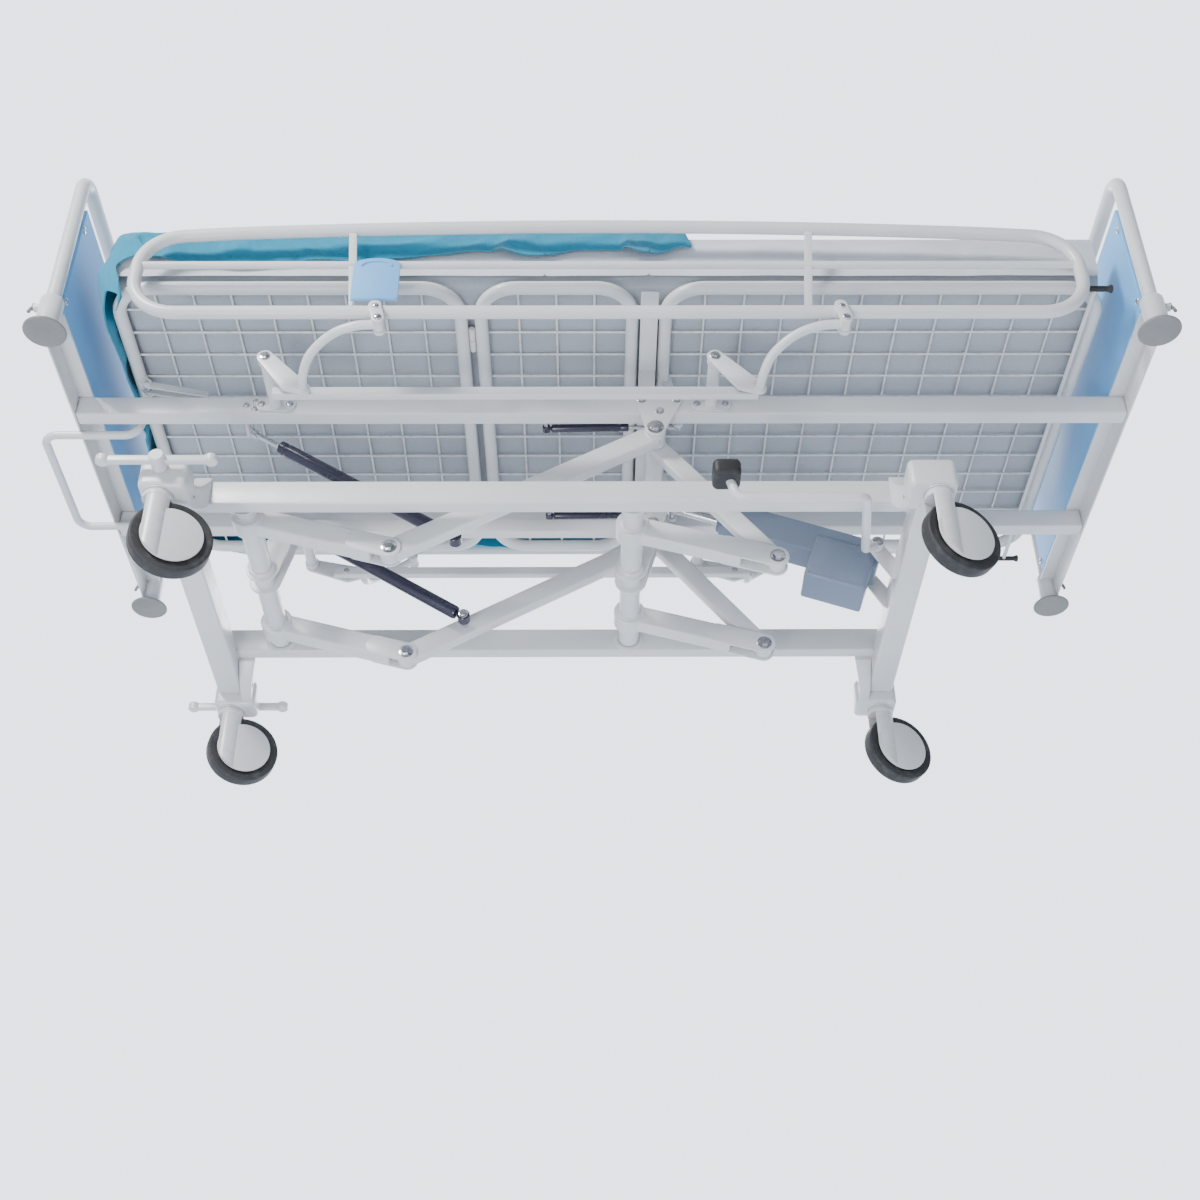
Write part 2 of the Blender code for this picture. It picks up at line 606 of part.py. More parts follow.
def build_end_cross(bed, end):
    """Angle bar across the rails with a sleeve for the board at each end."""
    out = -1 if end == "foot" else 1
    x = out * END_X
    parts = [
        box((x, x - out * 0.004), (-0.452, 0.452), (RAIL_Z[0] - 0.002, RAIL_Z[1] + 0.0043)),
        box((x - out * 0.001, x - out * 0.034), (-0.4515, 0.4515), (RAIL_Z[1] + GAP, RAIL_Z[1] + 0.0040)),
    ]
    sleeve_x = out * SLEEVE_X
    bores = []
    for _, side in both_sides():
        y = side * SLEEVE_Y
        parts.append(cylinder((sleeve_x, y, 0.5162), (sleeve_x, y, 0.600), SLEEVE_R, 14))
        parts.append(cylinder((sleeve_x + out * 0.018, y, 0.576), (sleeve_x + out * 0.038, y, 0.576), 0.005, 6))
        parts.append(box((sleeve_x + out * 0.0345, sleeve_x + out * 0.0415), (y - 0.006, y + 0.006),
                         (0.552, 0.600), bevel=0.0025))
        bores.append(cylinder((sleeve_x, y, 0.5270), (sleeve_x, y, 0.61), HOOP_R + 0.0012, 10))
    cross = cut(join(parts), bores)
    if end == "foot":
        z = LOOP_Z
        path = rounded_path([(-0.985, -0.152, 0.565), (-0.992, -0.155, z), (-LOOP_X, -0.155, z),
                             (-LOOP_X, 0.160, z), (-0.992, 0.155, z), (-0.985, 0.152, 0.565)], 0.030, 3)
        cross = join([cross, tube(path, LOOP_R)])
    bed.add(f"end_cross_{end}", cross, "white_paint")


def build_board(bed, end):
    """White tube hoop that stands in the sleeves, and the light blue panel bolted to its tabs."""
    out = -1 if end == "foot" else 1
    x = out * SLEEVE_X
    path = rounded_path([(x, -SLEEVE_Y, 0.5280), (x, -SLEEVE_Y, HOOP_TOP), (x, SLEEVE_Y, HOOP_TOP),
                         (x, SLEEVE_Y, 0.5280)], HOOP_CORNER, 4)
    hoop = [tube(path, HOOP_R)]
    panel = box((x - out * 0.005, x - out * 0.013), (-0.450, 0.450), (0.600, 0.890), bevel=0.002)
    heads = []
    for _, side in both_sides():
        for z in (0.625, 0.836):
            hoop.append(box((x - out * 0.0012, x - out * 0.0046), (side * 0.430, side * 0.462),
                            (z - 0.012, z + 0.012)))
            at = Vector((x - out * 0.012, side * 0.441, z))
            heads.append(cylinder(at, at - Vector((out * 0.005, 0, 0)), 0.008, 8))
    bed.add(f"board_hoop_{end}", join(hoop), "white_paint")
    bed.add(f"board_panel_{end}", join([panel] + heads), "light_blue")
    for name, side in both_sides():
        centre = Vector((x, side * SLEEVE_Y, 0))
        disc = cylinder(centre + Vector((0, 0, DISC_Z[0])), centre + Vector((0, 0, DISC_Z[1])), DISC_R, 24)
        bed.add(f"bumper_disc_{end}_{name}", disc, "grey_plastic", centre)


# ---------------------------------------------------------------- lying surface
def deck_section(limits, long_wires, cross_wires):
    """Tube loop with a coarse grid of welded wires."""
    x0, x1 = limits[0] + DECK_R, limits[1] - DECK_R
    corners = [(x0, -DECK_Y, DECK_Z), (x1, -DECK_Y, DECK_Z), (x1, DECK_Y, DECK_Z), (x0, DECK_Y, DECK_Z)]
    parts = [tube(rounded_path(corners, DECK_CORNER - DECK_R, 3, closed=True), DECK_R, closed=True)]
    low, high, half = DECK_Z + 0.0075, DECK_Z + 0.0100, 0.002
    for k in range(cross_wires):
        x = x0 + (x1 - x0) * (k + 1) / (cross_wires + 1)
        parts.append(box((x - half, x + half), (-DECK_Y + 0.008, DECK_Y - 0.008), (high - half, high + half)))
    for k in range(long_wires):
        y = (k - (long_wires - 1) / 2) * WIRE_PITCH
        parts.append(box((x0 + 0.008, x1 - 0.008), (y - half, y + half), (low - half, low + half)))
    return parts


def build_deck(bed):
    strut_ears = [rounded_link([(CALF_X[0] + DECK_R, DECK_Z - 0.004, 0.008), (*STRUT_PIVOT, 0.010)], y, y + 0.005)
                  for y in (-0.1785, -0.1455)]
    knee_lugs = [box((CALF_X[1] - 0.018, CALF_X[1] + 0.005), (side * 0.255, side * 0.320), (0.660, 0.668))
                 for side in (-1, 1)]
    calf = join(deck_section(CALF_X, 4, 3) + strut_ears + knee_lugs)
    calf = cut(calf, [pin(STRUT_PIVOT, -0.19, -0.13, 0.0050)])
    bed.add("calf_frame", calf, "white_paint", (KNEE_HINGE[0], 0, KNEE_HINGE[1]))

    bed.add("thigh_frame", join(deck_section(THIGH_X, 4, 1)), "white_paint", (THIGH_HINGE[0], 0, THIGH_HINGE[1]))

    lugs = [rounded_link([(BACK_HINGE[0] + 0.009, DECK_Z - 0.003, 0.011), (*BACK_SPRING_LUG, 0.012)],
                         side * 0.1600, side * 0.1650) for side in (-1, 1)]
    bed.add("back_frame", join(deck_section(BACK_X, 4, 4) + lugs), "white_paint",
            (BACK_HINGE[0], 0, BACK_HINGE[1]))

    parts = [pin(STRUT_PIVOT, -0.1800, -0.1390, 0.0044)]
    for y in (-0.1720, -0.1520):
        parts.append(rounded_link([(*STRUT_PIVOT, 0.0085), (*STRUT_END, 0.0065)], y, y + 0.005))
    parts.append(pin(STRUT_END, -0.1715, -0.1475, 0.0040))
    bed.add("calf_strut", join(parts), "white_paint", (STRUT_PIVOT[0], 0, STRUT_PIVOT[1]))

    x, z = RELEASE_AXIS
    parts = [cylinder((x, -0.456, z), (x, 0.456, z), 0.005, 8)]
    for side in (-1, 1):
        parts.append(cylinder((x - 0.020, side * 0.456, z), (x + 0.017, side * 0.456, z), 0.0052, 8))
        parts.append(cylinder((x + 0.015, side * 0.456, z), (x + 0.035, side * 0.456, z), 0.0052, 8, 0.0090))
    bed.add("release_handles", join(parts), "black_rubber", (x, 0, z))


def build_soft(bed):
    """Three mattress blocks with notches where the foam folds, and the blanket over the calf section."""
    low, high = MATTRESS_Z
    y = MATTRESS_Y

    def notch(hinge, z, angle):
        return hinge[0] + (z - hinge[1]) * math.tan(angle)

    knee = KNEE_HINGE[0]
    calf = [(MATTRESS_X[0], low), (knee - 0.0015, low), (knee - 0.0015, high), (MATTRESS_X[0], high)]
    thigh = [(knee + 0.0015, low), (notch(THIGH_HINGE, low, -NOTCH_THIGH), low),
             (notch(THIGH_HINGE, high, -NOTCH_THIGH), high), (knee + 0.0015, high)]
    back = [(notch(BACK_HINGE, low, NOTCH_BACK), low), (MATTRESS_X[1], low), (MATTRESS_X[1], high),
            (notch(BACK_HINGE, high, NOTCH_BACK), high)]
    for name, outline, hinge in (("calf", calf, KNEE_HINGE), ("thigh", thigh, THIGH_HINGE),
                                 ("back", back, BACK_HINGE)):
        bed.add(f"mattress_{name}", plate(outline, -y, y), "mattress_cloth", (hinge[0], 0, hinge[1]))

    blanket = box((-1.052, knee - 0.004), (-y - 0.0095, y + 0.0095), (0.715, high + 0.0105), bevel=0.004)
    hollow = box((MATTRESS_X[0] - 0.0015, knee + 0.02), (-y - 0.0015, y + 0.0015), (0.70, high + 0.0015))
    bed.add("blanket", cut(blanket, [hollow]), "blanket_cloth", (KNEE_HINGE[0], 0, KNEE_HINGE[1]))


# ---------------------------------------------------------------- side rails
def guard_path(y):
    """The side rail's closed loop, with a top that bows up in the middle."""
    x0, x1, low, high, crown, radius = -0.9415, 0.9665, 0.550, 0.770, 0.0275, 0.092
    corners = [(x1, y, high), (x0, y, high), (x0, y, low), (x1, y, low)]
    path = rounded_path(corners, radius, 3, closed=True)
    left, right = x0 + radius, x1 - radius
    for k in range(1, 6):
        t = k / 6
        path.insert(3 + k, Vector((right + (left - right) * t, y, high + crown * math.sin(math.pi * t) ** 0.8)))
    return path


def swing(by, angle):
    """An XZ offset turned by a raising angle."""
    c, s = math.cos(angle), math.sin(angle)
    return (by[0] * c - by[1] * s, by[0] * s + by[1] * c)


def shifted(obj, by, angle):
    """Moves a shape as the crank point by moves when the crank turns."""
    moved = swing(by, angle)
    obj.data.transform(Matrix.Translation((moved[0] - by[0], 0, moved[1] - by[1])))
    return obj


def build_side_rail(bed, name, side):
    """One side rail on its two cranks. The far one stands raised and the near one lowered."""
    y = side * GUARD_Y
    angle = GUARD_RAISED[name]
    crown_z = 0.7975
    loop = tube(guard_path(y), GUARD_R, closed=True)
    middle = cylinder((-0.9415, y, 0.684), (0.9665, y, 0.684), 0.008, 8)
    posts = []
    for low_x, top_x in ((-0.496, -0.515), (0.406, 0.425)):
        lean = (top_x - low_x) / (crown_z - 0.550)
        outline = [(low_x - 0.008, 0.550), (low_x + 0.008, 0.550),
                   (low_x + 0.008 + lean * 0.236, 0.786), (low_x - 0.008 + lean * 0.236, 0.786)]
        posts.append(plate(outline, y - 0.004, y + 0.004))
    forks = []
    for crank_pivot in CRANK_PIVOT.values():
        low = offset(crank_pivot, CRANK_RAIL)
        fork = rounded_link([(*low, FORK_R), (low[0] - 0.008, FORK_TOP, FORK_R)], y - FORK_HALF, y + FORK_HALF, 8)
        slot = box((low[0] - 0.03, low[0] + 0.03), (y - 0.0122, y + 0.0122), (low[1] - 0.03, low[1] + 0.0155))
        forks.append(cut(fork, [slot, pin(low, y - 0.03, y + 0.03, 0.0058)]))
    pivot = offset(CRANK_PIVOT["foot"], swing(CRANK_RAIL, angle))
    rail = shifted(join([loop, middle] + posts + forks), CRANK_RAIL, angle)
    bed.add(f"side_rail_{name}", rail, "white_paint", (pivot[0], y, pivot[1]))

    out = side * 0.0092
    arch = [(-0.502, 0.571), (-0.408, 0.571)]
    arch += [(-0.455 + 0.047 * math.cos(a), 0.672 + 0.018 * math.sin(a))
             for a in (math.pi * k / 10 for k in range(11))]
    latch = plate(arch, y + out, y + out + side * 0.0075)
    slot = [(-0.480, 0.655), (-0.430, 0.655)]
    slot += [(-0.455 + 0.025 * math.cos(a), 0.664 + 0.010 * math.sin(a))
             for a in (math.pi * k / 6 for k in range(7))]
    latch = shifted(cut(latch, [plate(slot, y, y + side * 0.03)]), CRANK_RAIL, angle)
    bed.add(f"latch_plate_{name}", latch, "light_blue", (pivot[0], y, pivot[1] + 0.06))

    for end in ("foot", "head"):
        build_crank(bed, end, name, side, angle)
    pins = [offset(CRANK_PIVOT[end], CRANK_SYNC) for end in ("foot", "head")]
    bar = box((pins[0][0] - 0.030, pins[1][0] + 0.036), (side * SYNC_Y[0], side * SYNC_Y[1]),
              (pins[0][1] - 0.0115, pins[0][1] + 0.0115), bevel=0.002)
    bar = cut(bar, [pin(p, side * 0.30, side * 0.36, 0.0056) for p in pins])
    at = offset(CRANK_PIVOT["foot"], swing(CRANK_SYNC, angle))
    bed.add(f"sync_bar_{name}", shifted(bar, CRANK_SYNC, angle), "white_paint", (at[0], side * 0.335, at[1]))


def build_crank(bed, end, name, side, angle):
    """Flat link and curved arm, with the eye and pin that hold the side rail's fork."""
    px, pz = CRANK_PIVOT[end]
    link = offset((px, pz), CRANK_LINK)
    eye = offset((px, pz), CRANK_RAIL)
    sync = offset((px, pz), CRANK_SYNC)
    y = side * GUARD_Y
    arm = smooth_path([
        (link[0], side * 0.354, link[1]), (link[0] + 0.004, side * 0.390, link[1] + 0.004),
        (px + 0.108, side * 0.430, pz - 0.064), (px + 0.150, side * 0.464, pz - 0.045),
        (px + 0.198, side * 0.482, eye[1] - 0.002), (eye[0], y, eye[1]),
    ], 2)
    parts = [
        rounded_link([(px, pz, 0.0165), (*link, 0.0140), (*sync, 0.0110)], side * 0.3527, side * 0.3605),
        tube(arm, 0.0095),
        pin(sync, side * (SYNC_Y[0] - 0.002), side * 0.355, 0.0050),
        pin(eye, y - 0.0112, y + 0.0112, 0.0112, 10),
        pin(eye, y - FORK_HALF - 0.001, y + FORK_HALF + 0.001, 0.0050),
    ]
    parts += [pin(eye, y + face * (FORK_HALF + 0.0005), y + face * (FORK_HALF + 0.0045), 0.0075)
              for face in (-1, 1)]
    crank = cut(join(parts), [pin((px, pz), side * 0.345, side * 0.365, 0.0066)])
    turn = Matrix.Translation((px, 0, pz)) @ Matrix.Rotation(-angle, 4, "Y") @ Matrix.Translation((-px, 0, -pz))
    crank.data.transform(turn)
    bed.add(f"crank_{end}_{name}", crank, "white_paint", (px, side * 0.3565, pz))


def main():
    clear_scene()
    bed = Bed()
    build_base(bed)
    for end in ("foot", "head"):
        for name, side in both_sides():
            build_corner_bracket(bed, end, name, side)
            build_caster(bed, end, name, side)
        build_lift_arms(bed, end)
        build_end_cross(bed, end)
        build_board(bed, end)
    build_brake(bed)
    build_push_rod(bed)
    build_upper_arms(bed)
    build_pump(bed)
    build_pedal(bed)
    build_springs(bed)
    build_bed_frame(bed)
    build_deck(bed)
    build_soft(bed)
    for name, side in both_sides():
        build_side_rail(bed, name, side)


main()
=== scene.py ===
"""The looks of an adjustable hospital bed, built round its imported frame. Metres, +Z up.

Sizes are given in the bed's own coordinates: the foot end is at -X, "near" is -Y, and the frame's
origin lies at ORIGIN in them. Each piece is made there and then moved into the frame.
"""
import json
import math

import bmesh
import bpy
from mathutils import Matrix, Vector, noise


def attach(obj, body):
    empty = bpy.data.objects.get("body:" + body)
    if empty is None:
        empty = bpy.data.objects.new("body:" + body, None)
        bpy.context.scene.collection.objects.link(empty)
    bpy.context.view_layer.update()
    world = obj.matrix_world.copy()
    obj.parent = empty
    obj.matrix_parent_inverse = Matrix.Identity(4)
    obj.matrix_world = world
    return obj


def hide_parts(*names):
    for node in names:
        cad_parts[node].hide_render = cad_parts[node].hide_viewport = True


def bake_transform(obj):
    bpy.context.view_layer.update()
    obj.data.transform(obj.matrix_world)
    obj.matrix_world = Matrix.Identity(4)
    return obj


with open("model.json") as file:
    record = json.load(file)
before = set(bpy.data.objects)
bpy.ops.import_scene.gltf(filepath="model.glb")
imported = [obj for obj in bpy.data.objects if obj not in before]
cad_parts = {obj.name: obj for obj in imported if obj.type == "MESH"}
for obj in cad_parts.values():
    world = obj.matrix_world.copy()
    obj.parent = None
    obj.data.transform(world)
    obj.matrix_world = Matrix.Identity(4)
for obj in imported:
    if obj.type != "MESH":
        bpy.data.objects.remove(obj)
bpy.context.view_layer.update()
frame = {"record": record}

ORIGIN = Vector((0.02825, 0, 0.012))
SIDES = (("near", -1), ("far", 1))
ENDS = (("foot", -1), ("head", 1))
BODY_OF = {node: body for body, nodes in frame["record"]["behaviour"]["bodies"].items() for node in nodes}

# rolling base
BASE_BEAM_Y, BASE_BEAM_W, BASE_BEAM_Z = 0.261, 0.030, (0.233, 0.292)
CROSS_X = {"foot": -0.842, "head": 0.632}
CROSS_W, CROSS_Z, CROSS_HALF = 0.053, (0.190, 0.250), 0.3555
HOUSING_Y, HOUSING_Z = 0.420, (0.162, 0.229)
CASTER_Y, CASTER_TRAIL, CASTER_HEADING = 0.389, 0.0355, math.radians(21.5)
WHEEL_R, WHEEL_HALF, HUB_Z, CHEEK_R = 0.078, 0.0150, 0.066, 0.059
BRAKE = (-0.838, 0.205)

# lift linkage
LIFT_SHAFT = {"foot": (-0.717, 0.262), "head": (0.059, 0.262)}
LIFT_KNEE = {"foot": (-0.427, 0.180), "head": (0.349, 0.180)}
LIFT_ARM_Y = {"foot": 0.188, "head": 0.156}
LIFT_ARM_W = {"foot": 0.038, "head": 0.036}
LIFT_ARM_H = 0.047
UPPER_ARM_W, UPPER_ARM_H = {"foot": 0.028, "head": 0.026}, {"foot": 0.045, "head": 0.040}
KNEE_OPEN = {"foot": 0.034, "head": 0.070}
LEVER_PIN, LEVER_TOP = (0.050, 0.123), (0.0755, 0.1857)
TILT_PIVOT, PUMP_PIVOT = (0.110, 0.485), (0.575, 0.290)
PEDAL_BEND_X, PEDAL_Y, PEDAL_Z = 0.475, 0.400, 0.148
TILT_SPRING_Y, TILT_SPRING_LOW, TILT_SPRING_TOP = 0.140, (-0.303, 0.2504), (-0.755, 0.542)
BACK_SPRING_Y, BACK_SPRING_FIX, BACK_SPRING_LUG = 0.150, (-0.120, 0.540), (0.161, 0.545)

# bed frame and lying surface
RAIL_X, RAIL_Y, RAIL_W, RAIL_Z = 1.1097, 0.194, 0.035, (0.528, 0.577)
END_X, SLEEVE_X, SLEEVE_Y, SLEEVE_R = 1.114, 1.100, 0.4715, 0.0235
DISC_R, DISC_Z = 0.0425, (0.508, 0.515)
LOOP_X, LOOP_Z, LOOP_R = 1.190, 0.5185, 0.009
HOOP_R, HOOP_TOP, HOOP_CORNER = 0.015, 0.971, 0.045
DECK_Y, DECK_Z, DECK_R, DECK_CORNER = 0.434, 0.671, 0.014, 0.090
WIRE_R, WIRE_PITCH_X, WIRE_PITCH_Y = 0.0027, 0.078, 0.066
CALF_X, THIGH_X, BACK_X = (-1.017, -0.282), (-0.268, 0.076), (0.117, 1.041)
KNEE_X, THIGH_HINGE_X, BACK_HINGE_X = -0.275, 0.062, 0.131
STRUT_PIVOT, STRUT_END, RELEASE_AXIS = (-0.985, 0.650), (-0.855, 0.622), (1.000, 0.645)
MATTRESS_X, MATTRESS_Y, MATTRESS_Z = (-1.010, 1.030), 0.430, (0.6855, 0.830)

# side rails
GUARD_X, GUARD_Y, GUARD_Z, GUARD_R = (-0.9415, 0.9665), 0.485, (0.550, 0.770), 0.0135
LATCH_X, KNOB_Z, HINGE_R = -0.455, 0.576, 0.0068
CRANK_PIVOT = {"foot": (-0.690, 0.552), "head": (0.229, 0.552)}
CRANK_RAIL, CRANK_LINK, CRANK_SYNC = (0.2475, -0.035), (0.086, -0.088), (0.050, -0.080)
SYNC_Y = (0.3265, 0.3435)
GUARD_RAISED = {"near": 0.0, "far": math.radians(35)}
OUTRIGGER_R, OUTRIGGER_Y = 0.013, 0.352


# ---------------------------------------------------------------- materials
class Nodes:
    """A material's node tree, with short ways to add and join nodes."""

    def __init__(self, name):
        self.material = bpy.data.materials.new(name)
        self.material.use_nodes = True
        self.tree = self.material.node_tree
        self.shader = self.tree.nodes["Principled BSDF"]
        self.coords = self.tree.nodes.new("ShaderNodeTexCoord").outputs["Object"]

    def add(self, kind, inputs=None, **settings):
        node = self.tree.nodes.new(kind)
        for key, value in settings.items():
            setattr(node, key, value)
        for key, value in (inputs or {}).items():
            self.put(node.inputs[key], value)
        return node

    def put(self, socket, value):
        if isinstance(value, bpy.types.NodeSocket):
            self.tree.links.new(value, socket)
        else:
            socket.default_value = value

    def noise(self, scale, detail=4.0, rough=0.55, coords=None):
        made = self.add("ShaderNodeTexNoise", {"Vector": coords or self.coords, "Scale": scale,
                                               "Detail": detail, "Roughness": rough})
        return made.outputs["Fac"]

    def remap(self, value, low, high, to_low=0.0, to_high=1.0):
        made = self.add("ShaderNodeMapRange", {"Value": value, "From Min": low, "From Max": high,
                                               "To Min": to_low, "To Max": to_high})
        return made.outputs["Result"]

    def math(self, operation, a, b=0.0):
        return self.add("ShaderNodeMath", {0: a, 1: b}, operation=operation).outputs[0]

    def mix(self, factor, a, b):
        made = self.add("ShaderNodeMix", data_type="RGBA")
        self.put(made.inputs[0], factor)
        self.put(made.inputs[6], a)
        self.put(made.inputs[7], b)
        return made.outputs[2]

    def bump(self, height, distance, strength=1.0):
        made = self.add("ShaderNodeBump", {"Height": height, "Distance": distance, "Strength": strength})
        self.put(self.shader.inputs["Normal"], made.outputs["Normal"])

    def set(self, **values):
        for key, value in values.items():
            self.put(self.shader.inputs[key.replace("_", " ")], value)


def shade(colour, factor):
    return tuple(min(1.0, c * factor) for c in colour[:3]) + (1.0,)


def painted(name, colour, rough=0.34, worn=(0.36, 0.36, 0.37), grain=900, flake=0.00003, wear=0.35):
    """Powder paint: fine orange peel, faint handling marks, painted shade in the inner corners and thin wear
    on edges.
    """
    n = Nodes(name)
    broad = n.noise(3.1, 3.0)
    smudge = n.noise(17.0, 5.0, 0.65)
    tone = n.mix(n.remap(broad, 0.35, 0.65), shade(colour, 0.95), shade(colour, 1.03))
    tone = n.mix(n.remap(smudge, 0.56, 0.74, 0.0, 0.16), tone, shade(colour, 0.80))
    pointed = n.add("ShaderNodeNewGeometry").outputs["Pointiness"]
    edge = n.math("MULTIPLY", n.remap(pointed, 0.56, 0.66), n.remap(n.noise(60.0), 0.48, 0.62))
    tone = n.mix(n.math("MULTIPLY", edge, wear), tone, (*worn, 1.0))
    # painted shade: inner corners (low pointiness) get a darker copy of the paint colour, standing in for the
    # shade that falls there
    corner = n.remap(pointed, 0.40, 0.47, 0.22, 0.0)
    n.set(Base_Color=n.mix(corner, tone, shade(colour, 0.55)), Metallic=0.0,
          Roughness=n.remap(smudge, 0.3, 0.7, rough - 0.05, rough + 0.10),
          Coat_Weight=0.18, Coat_Roughness=0.22)
    n.bump(n.noise(grain, 2.0), flake)
    return n.material


def plated(name, colour, rough=0.10):
    """Chrome with fine polishing lines and a few dull patches."""
    n = Nodes(name)
    patch = n.noise(35.0, 4.0)
    scratch = n.noise(700.0, 2.0)
    n.set(Base_Color=n.mix(n.remap(patch, 0.4, 0.7), (*colour, 1.0), shade(colour, 0.82)), Metallic=1.0,
          Roughness=n.remap(patch, 0.3, 0.7, rough, rough + 0.12))
    n.bump(scratch, 0.000012)
    return n.material


def moulded(name, colour, rough, grain, depth, dust=0.0, sheen=0.0):
    """Plastic or rubber with a moulded grain, uneven gloss and some dust."""
    n = Nodes(name)
    cloud = n.noise(9.0, 5.0, 0.6)
    tone = n.mix(n.remap(cloud, 0.35, 0.65), shade(colour, 0.88), shade(colour, 1.10))
    tone = n.mix(n.remap(n.noise(45.0, 4.0), 0.50, 0.72, 0.0, dust), tone, (0.42, 0.41, 0.39, 1.0))
    n.set(Base_Color=tone, Roughness=n.remap(cloud, 0.3, 0.7, rough - 0.06, rough + 0.08), Sheen_Weight=sheen)
    n.bump(n.noise(grain, 3.0), depth)
    return n.material


def laminate(name, colour):
    """Hard laminate: a pebbled surface, slight mottling and a soft gloss."""
    n = Nodes(name)
    cells = n.add("ShaderNodeTexVoronoi", {"Vector": n.coords, "Scale": 520.0}).outputs["Distance"]
    cloud = n.noise(5.0, 4.0)
    tone = n.mix(n.remap(cloud, 0.35, 0.65), shade(colour, 0.94), shade(colour, 1.05))
    tone = n.mix(n.remap(n.noise(140.0, 2.0), 0.5, 0.8, 0.0, 0.10), tone, shade(colour, 1.22))
    n.set(Base_Color=tone, Roughness=n.remap(cloud, 0.3, 0.7, 0.50, 0.62), Specular_IOR_Level=0.25)
    n.bump(cells, 0.00006)
    return n.material


def woven(name, colour, pitch, depth, sheen, fold_tone=0.86, fuzz=0.0):
    """Plain weave: crossed threads with slubs, on every face of the cloth."""
    n = Nodes(name)
    period = 0.314 / pitch
    wave = {"Vector": n.coords, "Scale": period, "Distortion": 0.4, "Detail Scale": 3.0}
    warp, weft, side = (n.add("ShaderNodeTexWave", wave, bands_direction=axis).outputs["Fac"]
                        for axis in "XYZ")
    threads = n.math("ADD", n.math("MAXIMUM", warp, weft), n.math("MULTIPLY", side, 0.5))
    cloud = n.noise(4.0, 5.0, 0.6)
    slub = n.noise(230.0, 3.0)
    tone = n.mix(n.remap(cloud, 0.3, 0.7), shade(colour, fold_tone), shade(colour, 1.06))
    tone = n.mix(n.remap(threads, 0.5, 1.4, 0.26, 0.0), tone, shade(colour, 0.62))
    tone = n.mix(n.remap(slub, 0.45, 0.75, 0.0, 0.22), tone, shade(colour, 1.28))
    height = n.math("ADD", threads, n.math("MULTIPLY", slub, fuzz))
    n.set(Base_Color=tone, Roughness=n.remap(cloud, 0.3, 0.7, 0.80, 0.92), Sheen_Weight=sheen,
          Sheen_Roughness=0.4)
    n.bump(height, depth)
    return n.material


MATERIALS = {
    "white_paint": painted("white_paint", (0.665, 0.665, 0.660)),
    "chrome": plated("chrome", (0.62, 0.62, 0.64)),
    "light_blue": laminate("light_blue", (0.170, 0.430, 0.760)),
    "blue_grey": painted("blue_grey", (0.150, 0.190, 0.262), 0.42, grain=500, flake=0.00006),
    "dark_navy": painted("dark_navy", (0.022, 0.020, 0.042), 0.20, worn=(0.06, 0.06, 0.08), wear=0.10),
    "black_rubber": moulded("black_rubber", (0.016, 0.016, 0.017), 0.55, 420.0, 0.00012, dust=0.05),
    "grey_plastic": moulded("grey_plastic", (0.215, 0.213, 0.210), 0.46, 600.0, 0.00006, dust=0.06),
    "wheel_grey": moulded("wheel_grey", (0.028, 0.028, 0.029), 0.60, 380.0, 0.00012, dust=0.08),
    "mattress_cloth": woven("mattress_cloth", (0.400, 0.425, 0.460), 0.0030, 0.00028, 0.15),
    "sheet_cloth": woven("sheet_cloth", (0.660, 0.680, 0.715), 0.0018, 0.00016, 0.20, fold_tone=0.93),
    "blanket_cloth": woven("blanket_cloth", (0.010, 0.255, 0.400), 0.0032, 0.00036, 0.18, fuzz=0.9),
    "disc_white": moulded("disc_white", (0.60, 0.60, 0.595), 0.40, 500.0, 0.00004, dust=0.08),
}


# ---------------------------------------------------------------- shapes, each a mesh in bed coordinates
def to_mesh(bm, name="shape"):
    mesh = bpy.data.meshes.new(name)
    bm.to_mesh(mesh)
    bm.free()
    return mesh


def linked(name, data):
    obj = bpy.data.objects.new(name, data)
    bpy.context.scene.collection.objects.link(obj)
    return obj


def evaluated(obj):
    """The mesh that an object's curve or modifiers give. The object is removed."""
    bpy.context.view_layer.update()
    graph = bpy.context.evaluated_depsgraph_get()
    mesh = bpy.data.meshes.new_from_object(obj.evaluated_get(graph), depsgraph=graph)
    bpy.data.objects.remove(obj, do_unlink=True)
    return mesh


def closed_mesh(bm, angle=35):
    """Turns normals outward and smooths the faces, with sharp edges where they meet at more than angle."""
    bmesh.ops.recalc_face_normals(bm, faces=bm.faces)
    for face in bm.faces:
        face.smooth = True
    for edge in bm.edges:
        edge.smooth = len(edge.link_faces) == 2 and edge.calc_face_angle(0) < math.radians(angle)
    return to_mesh(bm)


def moved(meshes, matrix):
    for mesh in meshes:
        mesh.transform(matrix)
    return meshes


def aimed(at, axis):
    """Where a shape goes whose Z axis has to run along axis."""
    return Matrix.Translation(at) @ Vector(axis).to_track_quat("Z", "Y").to_matrix().to_4x4()


def circle(bm, place, radius, height, sides):
    return [bm.verts.new(place @ Vector((radius * math.cos(2 * math.pi * k / sides),
                                         radius * math.sin(2 * math.pi * k / sides), height)))
            for k in range(sides)]


def skin(bm, loops, closed=False):
    """Fills in the faces between each loop of vertices and the next."""
    for a, b in zip(loops, loops[1:] + (loops[:1] if closed else [])):
        for k in range(len(a)):
            m = (k + 1) % len(a)
            bm.faces.new((a[k], a[m], b[m], b[k]))


